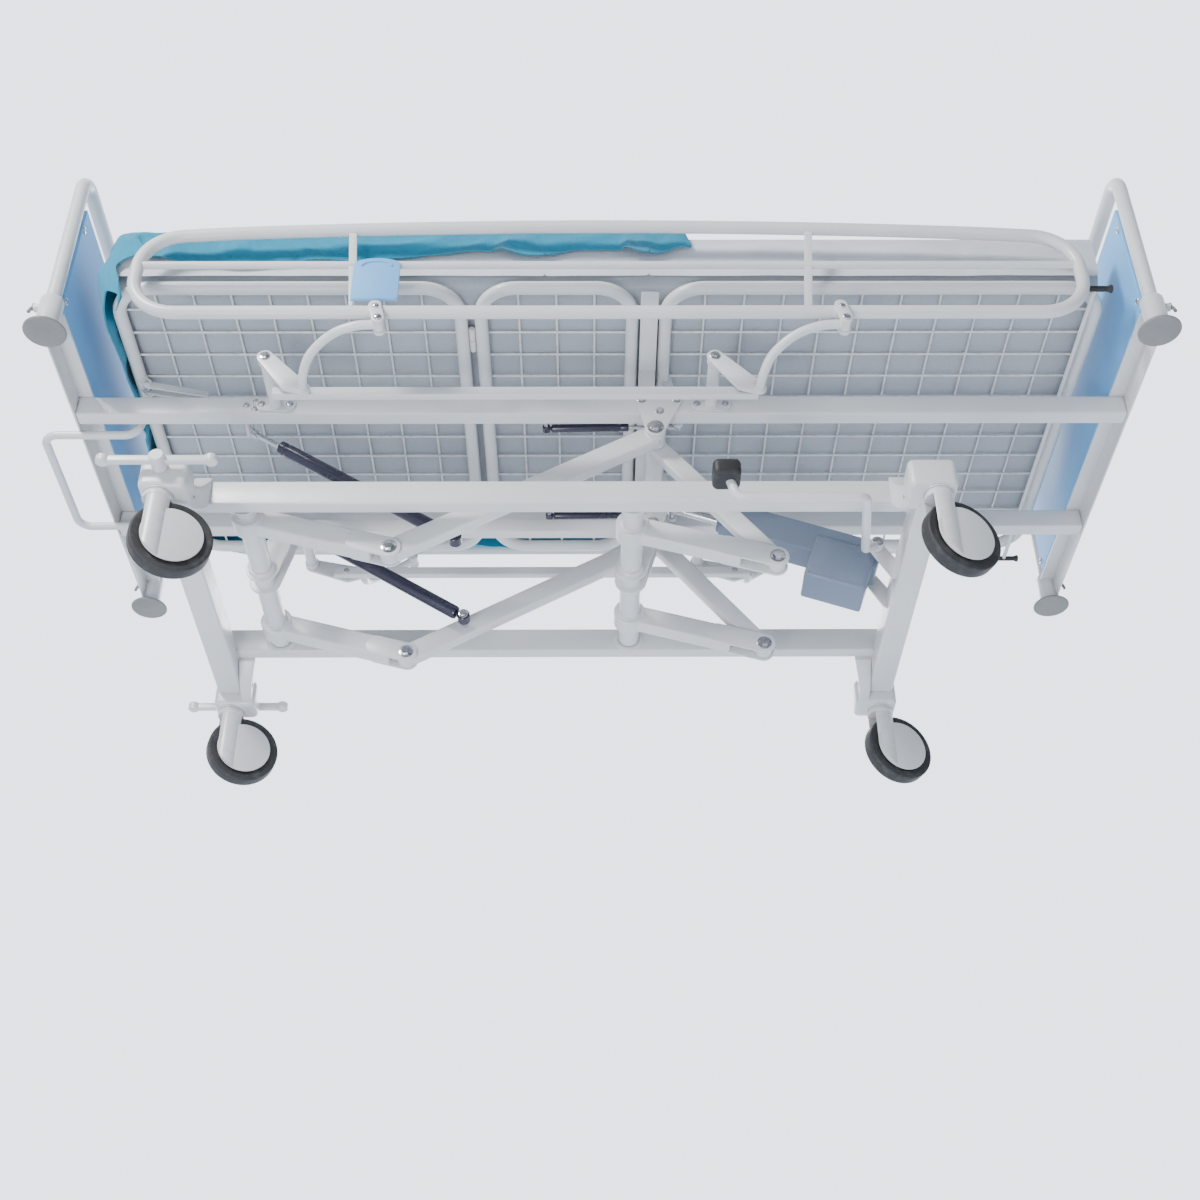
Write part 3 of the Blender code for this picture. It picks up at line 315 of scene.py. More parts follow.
def turned(profile, axis_from, axis_to, sides=32, angle=35):
    """A profile of (radius, distance along the axis), turned about the line between two points."""
    start, end = Vector(axis_from), Vector(axis_to)
    place = aimed(start, end - start)
    bm = bmesh.new()
    rings = [circle(bm, place, radius, height, sides) if radius > 0
             else [bm.verts.new(place @ Vector((0, 0, height)))] for radius, height in profile]
    for a, b in zip(rings, rings[1:]):
        for k in range(sides):
            m = (k + 1) % sides
            corners = (a[k % len(a)], a[m % len(a)], b[m % len(b)], b[k % len(b)])
            bm.faces.new(list(dict.fromkeys(corners)))
    for end_ring in (rings[0], rings[-1]):
        if len(end_ring) > 1:
            bm.faces.new(end_ring)
    return closed_mesh(bm, angle)


def rod(start, end, radius, chamfer=0.0008, sides=32):
    """A round bar with eased rims."""
    length = (Vector(end) - Vector(start)).length
    profile = [(radius - chamfer, 0), (radius, chamfer),
               (radius, length - chamfer), (radius - chamfer, length)]
    return turned(profile, start, end, sides)


def pin(at, y0, y1, radius, chamfer=0.0008, sides=32):
    return rod((at[0], min(y0, y1), at[1]), (at[0], max(y0, y1), at[1]), radius, chamfer, sides)


def ring(centre, axis, inner, outer, half, rim=0.0008, sides=36):
    """A flat ring, such as a washer, collar or bearing."""
    bm = bmesh.new()
    place = aimed(centre, axis)
    profile = [(inner, -half), (outer - rim, -half), (outer, -half + rim), (outer, half - rim),
               (outer - rim, half), (inner, half)]
    skin(bm, [circle(bm, place, r, h, sides) for r, h in profile], closed=True)
    return closed_mesh(bm)


def collar(at, y, inner, outer, half, rim=0.0008):
    """A ring round the line that runs along Y through an XZ point."""
    return ring((at[0], y, at[1]), (0, 1, 0), inner, outer, half, rim)


def bead(at, y, radius, thick, sides=32, round_steps=8):
    """A slightly uneven weld bead round a tube that runs along Y through an XZ point."""
    place = aimed((at[0], y, at[1]), (0, 1, 0))
    bm = bmesh.new()
    loops = []
    for k in range(sides):
        turn = 2 * math.pi * k / sides
        size = thick * (1 + 0.16 * math.sin(5 * turn) + 0.10 * math.sin(11 * turn))
        loops.append([bm.verts.new(place @ Vector(((radius + size * math.cos(t)) * math.cos(turn),
                                                   (radius + size * math.cos(t)) * math.sin(turn),
                                                   size * math.sin(t))))
                      for t in (2 * math.pi * m / round_steps for m in range(round_steps))])
    skin(bm, loops, closed=True)
    return closed_mesh(bm, 80)


def eased(bm, edges, width, segments=3):
    if width > 0:
        bmesh.ops.bevel(bm, geom=list(edges), offset=width, segments=segments, profile=0.5, affect="EDGES",
                        clamp_overlap=True)
    return bm


def block(x, y, z, bevel=0.003, segments=3):
    lo = Vector((min(x), min(y), min(z)))
    hi = Vector((max(x), max(y), max(z)))
    bm = bmesh.new()
    place = Matrix.Translation((lo + hi) / 2) @ Matrix.Diagonal((*(hi - lo), 1))
    bmesh.ops.create_cube(bm, size=1, matrix=place)
    return closed_mesh(eased(bm, bm.edges, bevel, segments))


def plate(outline, y0, y1, bevel=0.0008):
    """A flat XZ outline made thick along Y, with eased rims."""
    bm = bmesh.new()
    low, high = min(y0, y1), max(y0, y1)
    first = [bm.verts.new((a, low, b)) for a, b in outline]
    second = [bm.verts.new((a, high, b)) for a, b in outline]
    count = len(outline)
    caps = [bm.faces.new(first), bm.faces.new(second)]
    for k in range(count):
        bm.faces.new((first[k], first[(k + 1) % count], second[(k + 1) % count], second[k]))
    bmesh.ops.recalc_face_normals(bm, faces=bm.faces)
    rims = {edge for cap in caps for edge in cap.edges}
    return closed_mesh(eased(bm, rims, bevel, 2))


def hull(points):
    """The convex outline of flat points, counter-clockwise."""
    points = sorted(set((round(a, 7), round(b, 7)) for a, b in points))

    def half(items):
        chain = []
        for p in items:
            while len(chain) > 1:
                (ax, ay), (bx, by) = chain[-2:]
                if (bx - ax) * (p[1] - ay) - (by - ay) * (p[0] - ax) > 1e-9:
                    break
                chain.pop()
            chain.append(p)
        return chain[:-1]

    return half(points) + half(points[::-1])


def link(circles, y0, y1, bevel=0.0008, steps=40):
    """A plate round circles (x, z, radius), like a lever or an eye plate."""
    points = [(cx + r * math.cos(2 * math.pi * k / steps), cz + r * math.sin(2 * math.pi * k / steps))
              for cx, cz, r in circles for k in range(steps)]
    return plate(hull(points), y0, y1, bevel)


def beam(start, end, y, width, height, bevel=0.004):
    """A rectangular tube between two XZ points, centred on y."""
    run = Vector((end[0] - start[0], 0, end[1] - start[1]))
    bar = block((0, run.length), (-width / 2, width / 2), (-height / 2, height / 2), bevel)
    return moved([bar], Matrix.Translation((start[0], y, start[1]))
                 @ Matrix.Rotation(-math.atan2(run.z, run.x), 4, "Y"))[0]


def rounded_path(corners, radius, steps=10, closed=False):
    corners = [Vector(c) for c in corners]
    count = len(corners)
    path = []
    for i, corner in enumerate(corners):
        if not closed and i in (0, count - 1):
            path.append(corner)
            continue
        before = (corners[i - 1] - corner).normalized()
        after = (corners[(i + 1) % count] - corner).normalized()
        half_angle = before.angle(after) / 2
        centre = corner + (before + after).normalized() * radius / math.sin(half_angle)
        first = corner + before * radius / math.tan(half_angle) - centre
        last = corner + after * radius / math.tan(half_angle) - centre
        turn = first.angle(last)
        for k in range(steps + 1):
            t = k / steps
            path.append(centre + (first * math.sin((1 - t) * turn) + last * math.sin(t * turn))
                        / math.sin(turn))
    return path


def smooth_path(points, steps=8):
    points = [Vector(p) for p in points]
    ends = [2 * points[0] - points[1]] + points + [2 * points[-1] - points[-2]]
    path = []
    for a, b, c, d in zip(ends, ends[1:], ends[2:], ends[3:]):
        for k in range(steps):
            t = k / steps
            path.append(0.5 * (2 * b + (c - a) * t + (2 * a - 5 * b + 4 * c - d) * t * t
                               + (3 * b - a - 3 * c + d) * t ** 3))
    return path + [points[-1]]


def tube(path, radius, closed=False, resolution=5):
    """A round tube along a path, as a mesh with welded caps."""
    curve = bpy.data.curves.new("tube", "CURVE")
    curve.dimensions = "3D"
    curve.bevel_depth, curve.bevel_resolution = radius, resolution
    curve.use_fill_caps = True
    spline = curve.splines.new("POLY")
    spline.points.add(len(path) - 1)
    for point, co in zip(spline.points, path):
        point.co = (*co, 1)
    spline.use_cyclic_u = closed
    bm = bmesh.new()
    bm.from_mesh(evaluated(linked("tube", curve)))
    bmesh.ops.remove_doubles(bm, verts=bm.verts, dist=1e-6)
    return closed_mesh(bm, 50)


def hex_bolt(at, direction, across, height, washer=True):
    """A hexagon bolt head on a washer, with a domed face."""
    at, direction = Vector(at), Vector(direction).normalized()
    base = 0.0012 if washer else 0.0
    parts = []
    if washer:
        parts.append(turned([(across * 1.45, 0), (across * 1.5, 0.0004), (across * 1.5, 0.0010),
                             (across * 1.4, 0.0014), (across * 0.5, 0.0014)], at, at + direction, 28))
    profile = [(across, base), (across, base + height * 0.85), (across * 0.86, base + height),
               (across * 0.4, base + height * 1.02)]
    parts.append(turned(profile, at, at + direction, 6, 20))
    return parts


def bolt(at, y, face, across, height, washer=True):
    """A hexagon bolt at an XZ point, facing along Y."""
    return hex_bolt((at[0], y, at[1]), (0, face, 0), across, height, washer)


def dome_screw(at, direction, radius, height):
    """A round screw head with a hex socket."""
    at, direction = Vector(at), Vector(direction).normalized()
    profile = [(radius, 0), (radius, height * 0.35)]
    profile += [(radius * math.cos(a), height * (0.35 + 0.65 * math.sin(a)))
                for a in (math.pi / 2 * k / 5 for k in range(1, 4))]
    profile += [(radius * 0.42, height * 0.97), (radius * 0.36, height * 0.45), (0, height * 0.40)]
    return [turned(profile, at, at + direction, 24, 40)]


def toward(start, end, distance):
    run = math.dist(start, end)
    return (start[0] + (end[0] - start[0]) * distance / run, start[1] + (end[1] - start[1]) * distance / run)


def offset(point, by):
    return (point[0] + by[0], point[1] + by[1])


# ---------------------------------------------------------------- pieces
def piece(name, meshes, material, body, replaces=()):
    """Joins meshes into one piece that rides on a body and takes a slot's finish."""
    bm = bmesh.new()
    for mesh in meshes:
        bm.from_mesh(mesh)
        bpy.data.meshes.remove(mesh)
    obj = linked(name, to_mesh(bm, name))
    obj.data.transform(Matrix.Translation(ORIGIN))
    obj.data.materials.append(MATERIALS[material])
    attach(obj, body)
    if replaces:
        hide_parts(*replaces)


def stand_in(node, meshes, material, extra=None):
    """The fine version of one CAD node. extra maps further materials to their meshes."""
    piece(node + "_fine", meshes, material, BODY_OF[node], replaces=(node,))
    for other, more in (extra or {}).items():
        piece(f"{node}_{other}", more, other, BODY_OF[node])


# ---------------------------------------------------------------- rolling base
def build_base():
    parts, bolts = [], []
    for x in CROSS_X.values():
        parts.append(block((x - CROSS_W / 2, x + CROSS_W / 2), (-CROSS_HALF, CROSS_HALF), CROSS_Z, 0.0055, 4))
    for _, side in SIDES:
        y0, y1 = side * (BASE_BEAM_Y - BASE_BEAM_W / 2), side * (BASE_BEAM_Y + BASE_BEAM_W / 2)
        beam_x = (CROSS_X["foot"] - 0.006, CROSS_X["head"] + 0.006)
        parts.append(block(beam_x, (y0, y1), BASE_BEAM_Z, 0.0045, 4))
        for x in CROSS_X.values():
            for dx in (-1, 1):
                seam_x, seam_z = x + dx * 0.0272, 0.2335
                seam = [(seam_x, y0 - side * 0.001, seam_z), (seam_x, y1 + side * 0.001, seam_z)]
                parts.append(tube(seam, 0.0022, resolution=2))
        for shaft in LIFT_SHAFT.values():
            parts.append(collar(shaft, y0 - side * 0.0022, 0.0235, 0.0315, 0.0024, 0.0012))
            parts.append(bead(shaft, y0 - side * 0.0006, 0.0315, 0.0018))
        parts.append(link([(CROSS_X["head"] - 0.02, 0.228, 0.018), (*PUMP_PIVOT, 0.016)],
                          side * 0.0505, side * 0.0565))
    bolts += bolt(PUMP_PIVOT, 0.0565, 1, 0.0085, 0.0055)
    bolts.append(pin(PUMP_PIVOT, -0.083, 0.060, 0.006))
    stand_in("base_frame", parts, "white_paint", {"chrome": bolts})


def build_bracket(end, name, side):
    x = CROSS_X[end]
    inward = 1 if end == "foot" else -1
    parts = [block((x - inward * 0.036, x + inward * 0.056), (side * 0.3558, side * HOUSING_Y), HOUSING_Z,
                   0.012, 5)]
    bm = bmesh.new()
    rings = []
    steps = 14
    inner_y, outer_y = BASE_BEAM_Y + BASE_BEAM_W / 2 + 0.0003, 0.372
    for k in range(steps + 1):
        t = k / steps
        rise = (1 - t) ** 2.2
        x0, x1 = x + inward * (CROSS_W / 2 + 0.001), x + inward * (0.050 + 0.015 * rise)
        z0, z1 = 0.168 + 0.058 * rise, 0.222 + 0.078 * rise
        y = side * (inner_y + (outer_y - inner_y) * t)
        rings.append([bm.verts.new(c) for c in ((x0, y, z0), (x1, y, z0), (x1, y, z1), (x0, y, z1))])
    skin(bm, rings)
    bm.faces.new(rings[0])
    bm.faces.new(rings[-1])
    bmesh.ops.recalc_face_normals(bm, faces=bm.faces)
    sharp = [e for e in bm.edges if e.calc_face_angle(0) > math.radians(50)]
    parts.append(closed_mesh(eased(bm, sharp, 0.003, 3)))
    screw_y = 0.335
    bolts = dome_screw((x + inward * 0.0515, side * screw_y, 0.2000), (inward, 0, 0), 0.0050, 0.0030)
    parts.append(ring((x, side * CASTER_Y, HOUSING_Z[0] + 0.0004), (0, 0, 1), 0.0245, 0.031, 0.0012, 0.0006))
    stand_in(f"corner_bracket_{end}_{name}", parts, "white_paint", {"chrome": bolts})


def fork_leg(face, radius, flat, hub, top):
    """The round leg's outer slice on one side of the wheel, down to the edge of the cheek disc."""
    bm = bmesh.new()
    widest, steps = math.acos(flat / radius), 20
    columns = []
    for k in range(steps + 1):
        a = widest * (2 * k / steps - 1)
        x, y = radius * math.sin(a), face * radius * math.cos(a)
        low = hub.z - math.sqrt(max(0.0, (CHEEK_R - 0.001) ** 2 - (x - hub.x) ** 2))
        columns.append([bm.verts.new(c) for c in ((x, y, top - 0.012), (x, y, low),
                                                  (x, face * flat, low), (x, face * flat, top - 0.012))])
    skin(bm, columns)
    bmesh.ops.remove_doubles(bm, verts=bm.verts, dist=1e-6)
    bmesh.ops.dissolve_degenerate(bm, edges=bm.edges, dist=1e-7)
    return closed_mesh(bm)


def build_caster(end, name, side):
    """Fork with cheek discs, and a wheel with a soft grey tyre round a pale disc."""
    place = (Matrix.Translation((CROSS_X[end], side * CASTER_Y, 0)) @ Matrix.Rotation(CASTER_HEADING, 4, "Z"))
    hub = Vector((CASTER_TRAIL, 0, HUB_Z))
    top = HOUSING_Z[0] - 0.0015
    leg_r, flat = 0.0275, 0.0166
    parts = [turned([(leg_r, hub.z + WHEEL_R + 0.0045), (leg_r, top - 0.013), (0.0290, top - 0.011),
                     (0.0290, top - 0.002), (0.0280, top)], (0, 0, 0), (0, 0, 1), 48)]
    for face in (-1, 1):
        disc = [(hub.x + CHEEK_R * math.cos(t), hub.z + CHEEK_R * math.sin(t))
                for t in (2 * math.pi * k / 72 for k in range(72))]
        parts.append(plate(hull(disc), face * flat, face * 0.0220, 0.0020))
        parts.append(fork_leg(face, leg_r, flat, hub, top))
    stand_in(f"caster_fork_{end}_{name}", moved(parts, place), "white_paint")

    spin = place @ Matrix.Translation(hub) @ Matrix.Rotation(math.pi / 2, 4, "X")
    tread = [(0.0605, -WHEEL_HALF + 0.0012), (0.0625, -WHEEL_HALF + 0.0002), (0.0730, -WHEEL_HALF)]
    tread += [(0.0738 + 0.0042 * math.cos(a), face * (WHEEL_HALF - 0.0042) + 0.0042 * math.sin(a))
              for face, turns in ((-1, range(-80, 1, 20)), (1, range(0, 81, 20)))
              for a in (math.radians(t) for t in turns)]
    tread += [(0.0730, WHEEL_HALF), (0.0625, WHEEL_HALF - 0.0002), (0.0605, WHEEL_HALF - 0.0012)]
    tyre = turned(tread, (0, 0, 0), (0, 0, 1), 72, 60)
    rim = [(0.0070, -0.0148), (0.0185, -0.0150), (0.0200, -0.0118), (0.0520, -0.0108), (0.0560, -0.0132),
           (0.0608, -0.0136), (0.0608, 0.0136), (0.0560, 0.0132), (0.0520, 0.0108), (0.0200, 0.0118),
           (0.0185, 0.0150), (0.0070, 0.0148)]
    disc = turned(rim, (0, 0, 0), (0, 0, 1), 56)
    stand_in(f"caster_wheel_{end}_{name}", moved([tyre], spin), "wheel_grey",
             {"disc_white": moved([disc], spin)})


def build_brake():
    x, z = BRAKE
    parts, pedal_x = [pin(BRAKE, -0.452, 0.452, 0.0078, 0.0006, 6)], (x - 0.105, x + 0.099)
    for _, side in SIDES:
        parts.append(pin(BRAKE, side * 0.4208, side * 0.460, 0.015, 0.0025))
        parts.append(block(pedal_x, (side * 0.4335, side * 0.4465), (z - 0.005, z + 0.011), 0.003, 4))
        for end_x in pedal_x:
            low, high = (end_x, side * 0.440, z - 0.0065), (end_x, side * 0.440, z + 0.0125)
            parts.append(rod(low, high, 0.0128, 0.0035))
    stand_in("brake_pedals", parts, "white_paint")


# ---------------------------------------------------------------- lift
def build_lift_arms(end):
    shaft, knee = LIFT_SHAFT[end], LIFT_KNEE[end]
    reach = BASE_BEAM_Y - BASE_BEAM_W / 2 - 0.0045
    parts, bolts = [pin(shaft, -reach, reach, 0.0225, 0.001)], []
    for _, side in SIDES:
        y, width = side * LIFT_ARM_Y[end], LIFT_ARM_W[end]
        parts.append(beam(shaft, toward(knee, shaft, KNEE_OPEN[end]), y, width, LIFT_ARM_H, 0.0050))
        parts.append(pin(shaft, y - width / 2 - 0.003, y + width / 2 + 0.003, 0.034, 0.002, 48))
        for face in (-1, 1):
            parts.append(bead(shaft, y + face * (width / 2 + 0.003), 0.0230, 0.0022))
            outer, inner = y + face * (width / 2 + 0.0004), y + face * (width / 2 - 0.0045)
            back = toward(knee, shaft, KNEE_OPEN[end] + 0.034)
            parts.append(link([(*knee, 0.0236), (*back, 0.0236)], inner, outer, 0.0012))
            bolts += bolt(knee, outer, face, *((0.0105, 0.0060) if face < 0 else (0.0095, 0.0050)))
        bolts.append(pin(knee, y - width / 2 - 0.001, y + width / 2 + 0.001, 0.0070))
        circles = [(*shaft, 0.034), (*offset(shaft, LEVER_PIN if end == "foot" else LEVER_TOP),
                                     0.018 if end == "foot" else 0.015)]
        parts.append(link(circles, side * 0.0200, side * 0.0248))
        parts.append(collar(shaft, side * 0.0305, 0.0225, 0.0278, 0.0055, 0.0015))
        parts.append(bead(shaft, side * 0.0250, 0.0275, 0.0016))
        lever_bolts = [LEVER_PIN] + ([LEVER_TOP] if end == "head" else [])
        for by in lever_bolts:
            at = offset(shaft, by)
            bolts += bolt(at, side * 0.0248, side, 0.0080, 0.0048)
    bolts.append(pin(offset(shaft, LEVER_PIN), -0.0262, 0.0262, 0.0060))
    stand_in(f"lift_arms_{end}", parts, "white_paint", {"chrome": bolts})


def build_push_rod():
    pins = [offset(LIFT_SHAFT[end], LEVER_PIN) for end in ("foot", "head")]
    rod_bar = beam(offset(pins[0], (-0.020, 0)), offset(pins[1], (0.020, 0)), 0, 0.025, 0.0345, 0.0035)
    stand_in("push_rod", [rod_bar], "white_paint")


def build_upper_arms():
    parts, bolts = [pin(TILT_PIVOT, -0.2105, 0.2105, 0.020, 0.001, 40)], []
    for _, side in SIDES:
        bolts.append(pin(TILT_PIVOT, side * 0.205, side * 0.2195, 0.009))
        bolts += bolt(TILT_PIVOT, side * 0.2174, side, 0.0118, 0.0060)
        for end in ("foot", "head"):
            y, width, height = side * LIFT_ARM_Y[end], UPPER_ARM_W[end], UPPER_ARM_H[end]
            knee = LIFT_KNEE[end]
            parts.append(beam(toward(knee, TILT_PIVOT, 0.006), TILT_PIVOT, y, width, height, 0.0045))
            parts.append(pin(knee, y - width / 2 + 0.0002, y + width / 2 - 0.0002, height / 2 - 0.001, 0.001))
        for face in (-1, 1):
            y = side * LIFT_ARM_Y["foot"] + face * (UPPER_ARM_W["foot"] / 2 + 0.0002)
            parts.append(bead(TILT_PIVOT, y, 0.0202, 0.0024))
        bolts.append(pin(TILT_SPRING_LOW, side * 0.176, side * 0.1245, 0.006))
        bolts += bolt(TILT_SPRING_LOW, side * 0.1260, -side, 0.0075, 0.0035)
    stand_in("upper_arms", parts, "white_paint", {"chrome": bolts})


def pump_frame():
    top = offset(LIFT_SHAFT["head"], LEVER_TOP)
    run = (top[0] - PUMP_PIVOT[0], top[1] - PUMP_PIVOT[1])
    place = (Matrix.Translation((PUMP_PIVOT[0], 0, PUMP_PIVOT[1]))
             @ Matrix.Rotation(-math.atan2(run[1], run[0]), 4, "Y"))
    return place, math.hypot(*run)


def build_pump():
    place, reach = pump_frame()
    body = [block((-0.012, 0.335), (-0.034, 0.034), (-0.036, 0.036), 0.0055, 4),
            block((-0.003, 0.128), (-0.043, 0.043), (-0.004, 0.105), 0.0060, 4),
            block((0.004, 0.121), (-0.0445, 0.0445), (0.006, 0.096), 0.0020, 2)]
    body.append(turned([(0.024, 0), (0.0245, 0.001), (0.0245, 0.007), (0.021, 0.009), (0.012, 0.009)],
                       (0.3345, 0, 0), (1, 0, 0), 36))
    stand_in("pump_body", moved(body, place), "blue_grey")
    shaft = [rod((0.068, 0, 0), (reach - 0.010, 0, 0), 0.0095),
             pin((reach, 0), -0.0185, 0.0185, 0.0135, 0.0012),
             turned([(0.0125, 0), (0.0125, 0.016), (0.0100, 0.019)], (reach - 0.032, 0, 0), (1, 0, 0), 6, 20)]
    stand_in("pump_rod", moved(shaft, place), "chrome")


def build_pedal():
    """Bent tube lever on the pump's pivot pin, and its ribbed rubber pad."""
    x, z = PUMP_PIVOT
    path = rounded_path([
        (x, -0.066, z), (x - 0.035, -0.110, z - 0.045), (PEDAL_BEND_X + 0.020, -PEDAL_Y, PEDAL_Z),
        (0.250, -PEDAL_Y, PEDAL_Z), (0.236, -PEDAL_Y, 0.195),
    ], 0.022, 8)
    parts = [tube(path, 0.009), pin(PUMP_PIVOT, -0.0578, -0.0780, 0.014, 0.0016),
             bead(PUMP_PIVOT, -0.0690, 0.0140, 0.0018)]
    bolts = bolt(PUMP_PIVOT, -0.0780, -1, 0.0080, 0.0045)
    stand_in("foot_pedal_lever", parts, "white_paint", {"chrome": bolts})
    pad = [block((0.205, 0.259), (-PEDAL_Y - 0.029, -PEDAL_Y + 0.029), (0.184, 0.2245), 0.012, 6)]
    for k in range(6):
        rib_x = 0.214 + k * 0.0072
        pad.append(block((rib_x, rib_x + 0.0036), (-PEDAL_Y - 0.020, -PEDAL_Y + 0.020),
                         (0.222, 0.2262), 0.0010, 2))
    stand_in("foot_pedal_pad", pad, "black_rubber")


def build_spring(kind, name, side, low, top, y, sizes):
    """A gas spring: eye, glossy cylinder with rolled ends, polished rod and its eye."""
    body_r, rod_r, body_end, rod_start, eye_half, boss = sizes
    angle = math.atan2(top[1] - low[1], top[0] - low[0])
    place = Matrix.Translation((low[0], side * y, low[1])) @ Matrix.Rotation(-angle, 4, "Y")
    reach = math.dist(low, top)
    neck = body_r * 0.72
    profile = [(body_r * 0.45, body_r * 0.5), (body_r * 0.45, body_r * 1.1), (body_r * 0.9, body_r * 1.3),
               (body_r, body_r * 1.6), (body_r, body_end - 0.022), (neck + 0.001, body_end - 0.019),
               (neck + 0.001, body_end - 0.016), (body_r * 0.97, body_end - 0.013),
               (body_r * 0.97, body_end - 0.002), (body_r * 0.80, body_end), (rod_r + 0.001, body_end)]
    body = [turned(profile, (0, 0, 0), (1, 0, 0), 40),
            pin((0, 0), -eye_half, eye_half, body_r * 0.92, 0.0014)]
    bolts = [rod((rod_start, 0, 0), (reach, 0, 0), rod_r),
             pin((reach, 0), -side * eye_half * 0.7, side * boss, rod_r * 1.75, 0.001),
             turned([(rod_r * 1.5, 0), (rod_r * 1.5, 0.012), (rod_r, 0.014)],
                    (reach - rod_r * 1.6 - 0.012, 0, 0), (1, 0, 0), 6, 20)]
    stand_in(f"{kind}_spring_cylinder_{name}", moved(body, place), "dark_navy")
    stand_in(f"{kind}_spring_rod_{name}", moved(bolts, place), "chrome")


def build_springs():
    for name, side in SIDES:
        build_spring("tilt", name, side, TILT_SPRING_LOW, TILT_SPRING_TOP, TILT_SPRING_Y,
                     (0.0150, 0.0062, 0.455, 0.200, 0.0120, 0.0355))
        build_spring("back", name, side, BACK_SPRING_FIX, BACK_SPRING_LUG, BACK_SPRING_Y,
                     (0.0090, 0.0042, 0.176, 0.090, 0.0080, 0.0085))


# ---------------------------------------------------------------- bed frame
def build_bed_frame():
    parts, bolts = [], []
    for _, side in SIDES:
        y0, y1 = side * (RAIL_Y - RAIL_W / 2), side * (RAIL_Y + RAIL_W / 2)
        parts.append(block((-RAIL_X, RAIL_X), (y0, y1), RAIL_Z, 0.0045, 4))
        parts.append(block((0.0805, 0.1125), (side * 0.180, side * 0.208), (RAIL_Z[1] - 0.002, 0.657), 0.002))
        for pivot in CRANK_PIVOT.values():
            parts.append(pin(pivot, side * (RAIL_Y + 0.010), side * OUTRIGGER_Y, OUTRIGGER_R, 0.001))
            parts.append(link([(pivot[0] - 0.024, pivot[1], 0.0185), (pivot[0] + 0.024, pivot[1], 0.0185)],
                              y1, y1 + side * 0.004, 0.001))
            parts.append(bead(pivot, y1 + side * 0.0045, OUTRIGGER_R, 0.0020))
            parts.append(collar(pivot, side * (OUTRIGGER_Y - 0.006), 0.0125, 0.0158, 0.006, 0.0012))
            bolts.append(pin(pivot, side * 0.345, side * 0.3625, 0.006))
            bolts += bolt(pivot, side * 0.3612, side, 0.0070, 0.0040)
            for dx in (-0.030, 0.030):
                bolts += hex_bolt((pivot[0] + dx, y1 + side * 0.004, pivot[1]), (0, side, 0), 0.0052, 0.0032)
        bracket_out = y1 + side * 0.0053
        parts.append(link([(0.083, 0.562, 0.012), (0.157, 0.562, 0.012), (*TILT_PIVOT, 0.021)],
                          y1 - side * 0.0003, bracket_out, 0.0012))
        for at in ((0.083, 0.562), (0.157, 0.562), (0.120, 0.530)):
            bolts += bolt(at, bracket_out, side, 0.0062, 0.0038)
        for dx, z in ((-0.043, 0.562), (-0.043, 0.542), (-0.063, 0.552)):
            bolts += hex_bolt((CRANK_PIVOT["foot"][0] + dx, y1, z), (0, side, 0), 0.0048, 0.0030)
        bolts.append(pin(BACK_SPRING_FIX, y0 + side * 0.003, side * 0.1405, 0.005))
        bolts += bolt(BACK_SPRING_FIX, side * 0.1420, -side, 0.0062, 0.0030,
                          washer=False)
    parts.append(block((0.0785, 0.1145), (-DECK_Y, DECK_Y), (0.655, 0.661), 0.001, 2))
    for side in (-1, 1):
        parts.append(block((0.0810, 0.1120), (side * 0.325, side * 0.353), (0.6605, 0.6790), 0.001, 2))
    stand_in("bed_frame", parts, "white_paint", {"chrome": bolts})


def build_end_cross(end, out):
    x = out * END_X
    parts = [block((x, x - out * 0.004), (-0.452, 0.452), (RAIL_Z[0] - 0.002, RAIL_Z[1] + 0.0043), 0.0012, 3),
             block((x - out * 0.001, x - out * 0.034), (-0.4515, 0.4515),
                   (RAIL_Z[1] + 0.0003, RAIL_Z[1] + 0.0040), 0.0012, 3)]
    sleeve_x = out * SLEEVE_X
    knobs = []
    for _, side in SIDES:
        y = side * SLEEVE_Y
        rim = [(0.0163, 0.5162), (SLEEVE_R - 0.002, 0.5162), (SLEEVE_R, 0.5182), (SLEEVE_R, 0.592),
               (SLEEVE_R - 0.0025, 0.5975), (0.0175, 0.600), (0.0163, 0.599)]
        parts.append(turned(rim, (sleeve_x, y, 0), (sleeve_x, y, 1), 44))
        parts.append(rod((sleeve_x + out * 0.018, y, KNOB_Z), (sleeve_x + out * 0.0335, y, KNOB_Z),
                         0.0085, 0.001))
        knobs.append(rod((sleeve_x + out * 0.030, y, KNOB_Z), (sleeve_x + out * 0.0385, y, KNOB_Z), 0.0050))
        lever_x = sleeve_x + out * 0.0380
        for turn in (-1, 1):
            path = smooth_path([(lever_x, y, KNOB_Z), (lever_x, y + turn * 0.005, KNOB_Z + turn * 0.008),
                                (lever_x + out * 0.001, y + turn * 0.008, KNOB_Z + turn * 0.018)], 6)
            knobs.append(tube(path, 0.0036, resolution=4))
    if end == "foot":
        z = LOOP_Z
        path = rounded_path([(-0.985, -0.152, 0.565), (-0.992, -0.155, z), (-LOOP_X, -0.155, z),
                             (-LOOP_X, 0.160, z), (-0.992, 0.155, z), (-0.985, 0.152, 0.565)], 0.030, 8)
        parts.append(tube(path, LOOP_R))
    stand_in(f"end_cross_{end}", parts, "white_paint", {"grey_plastic": knobs})


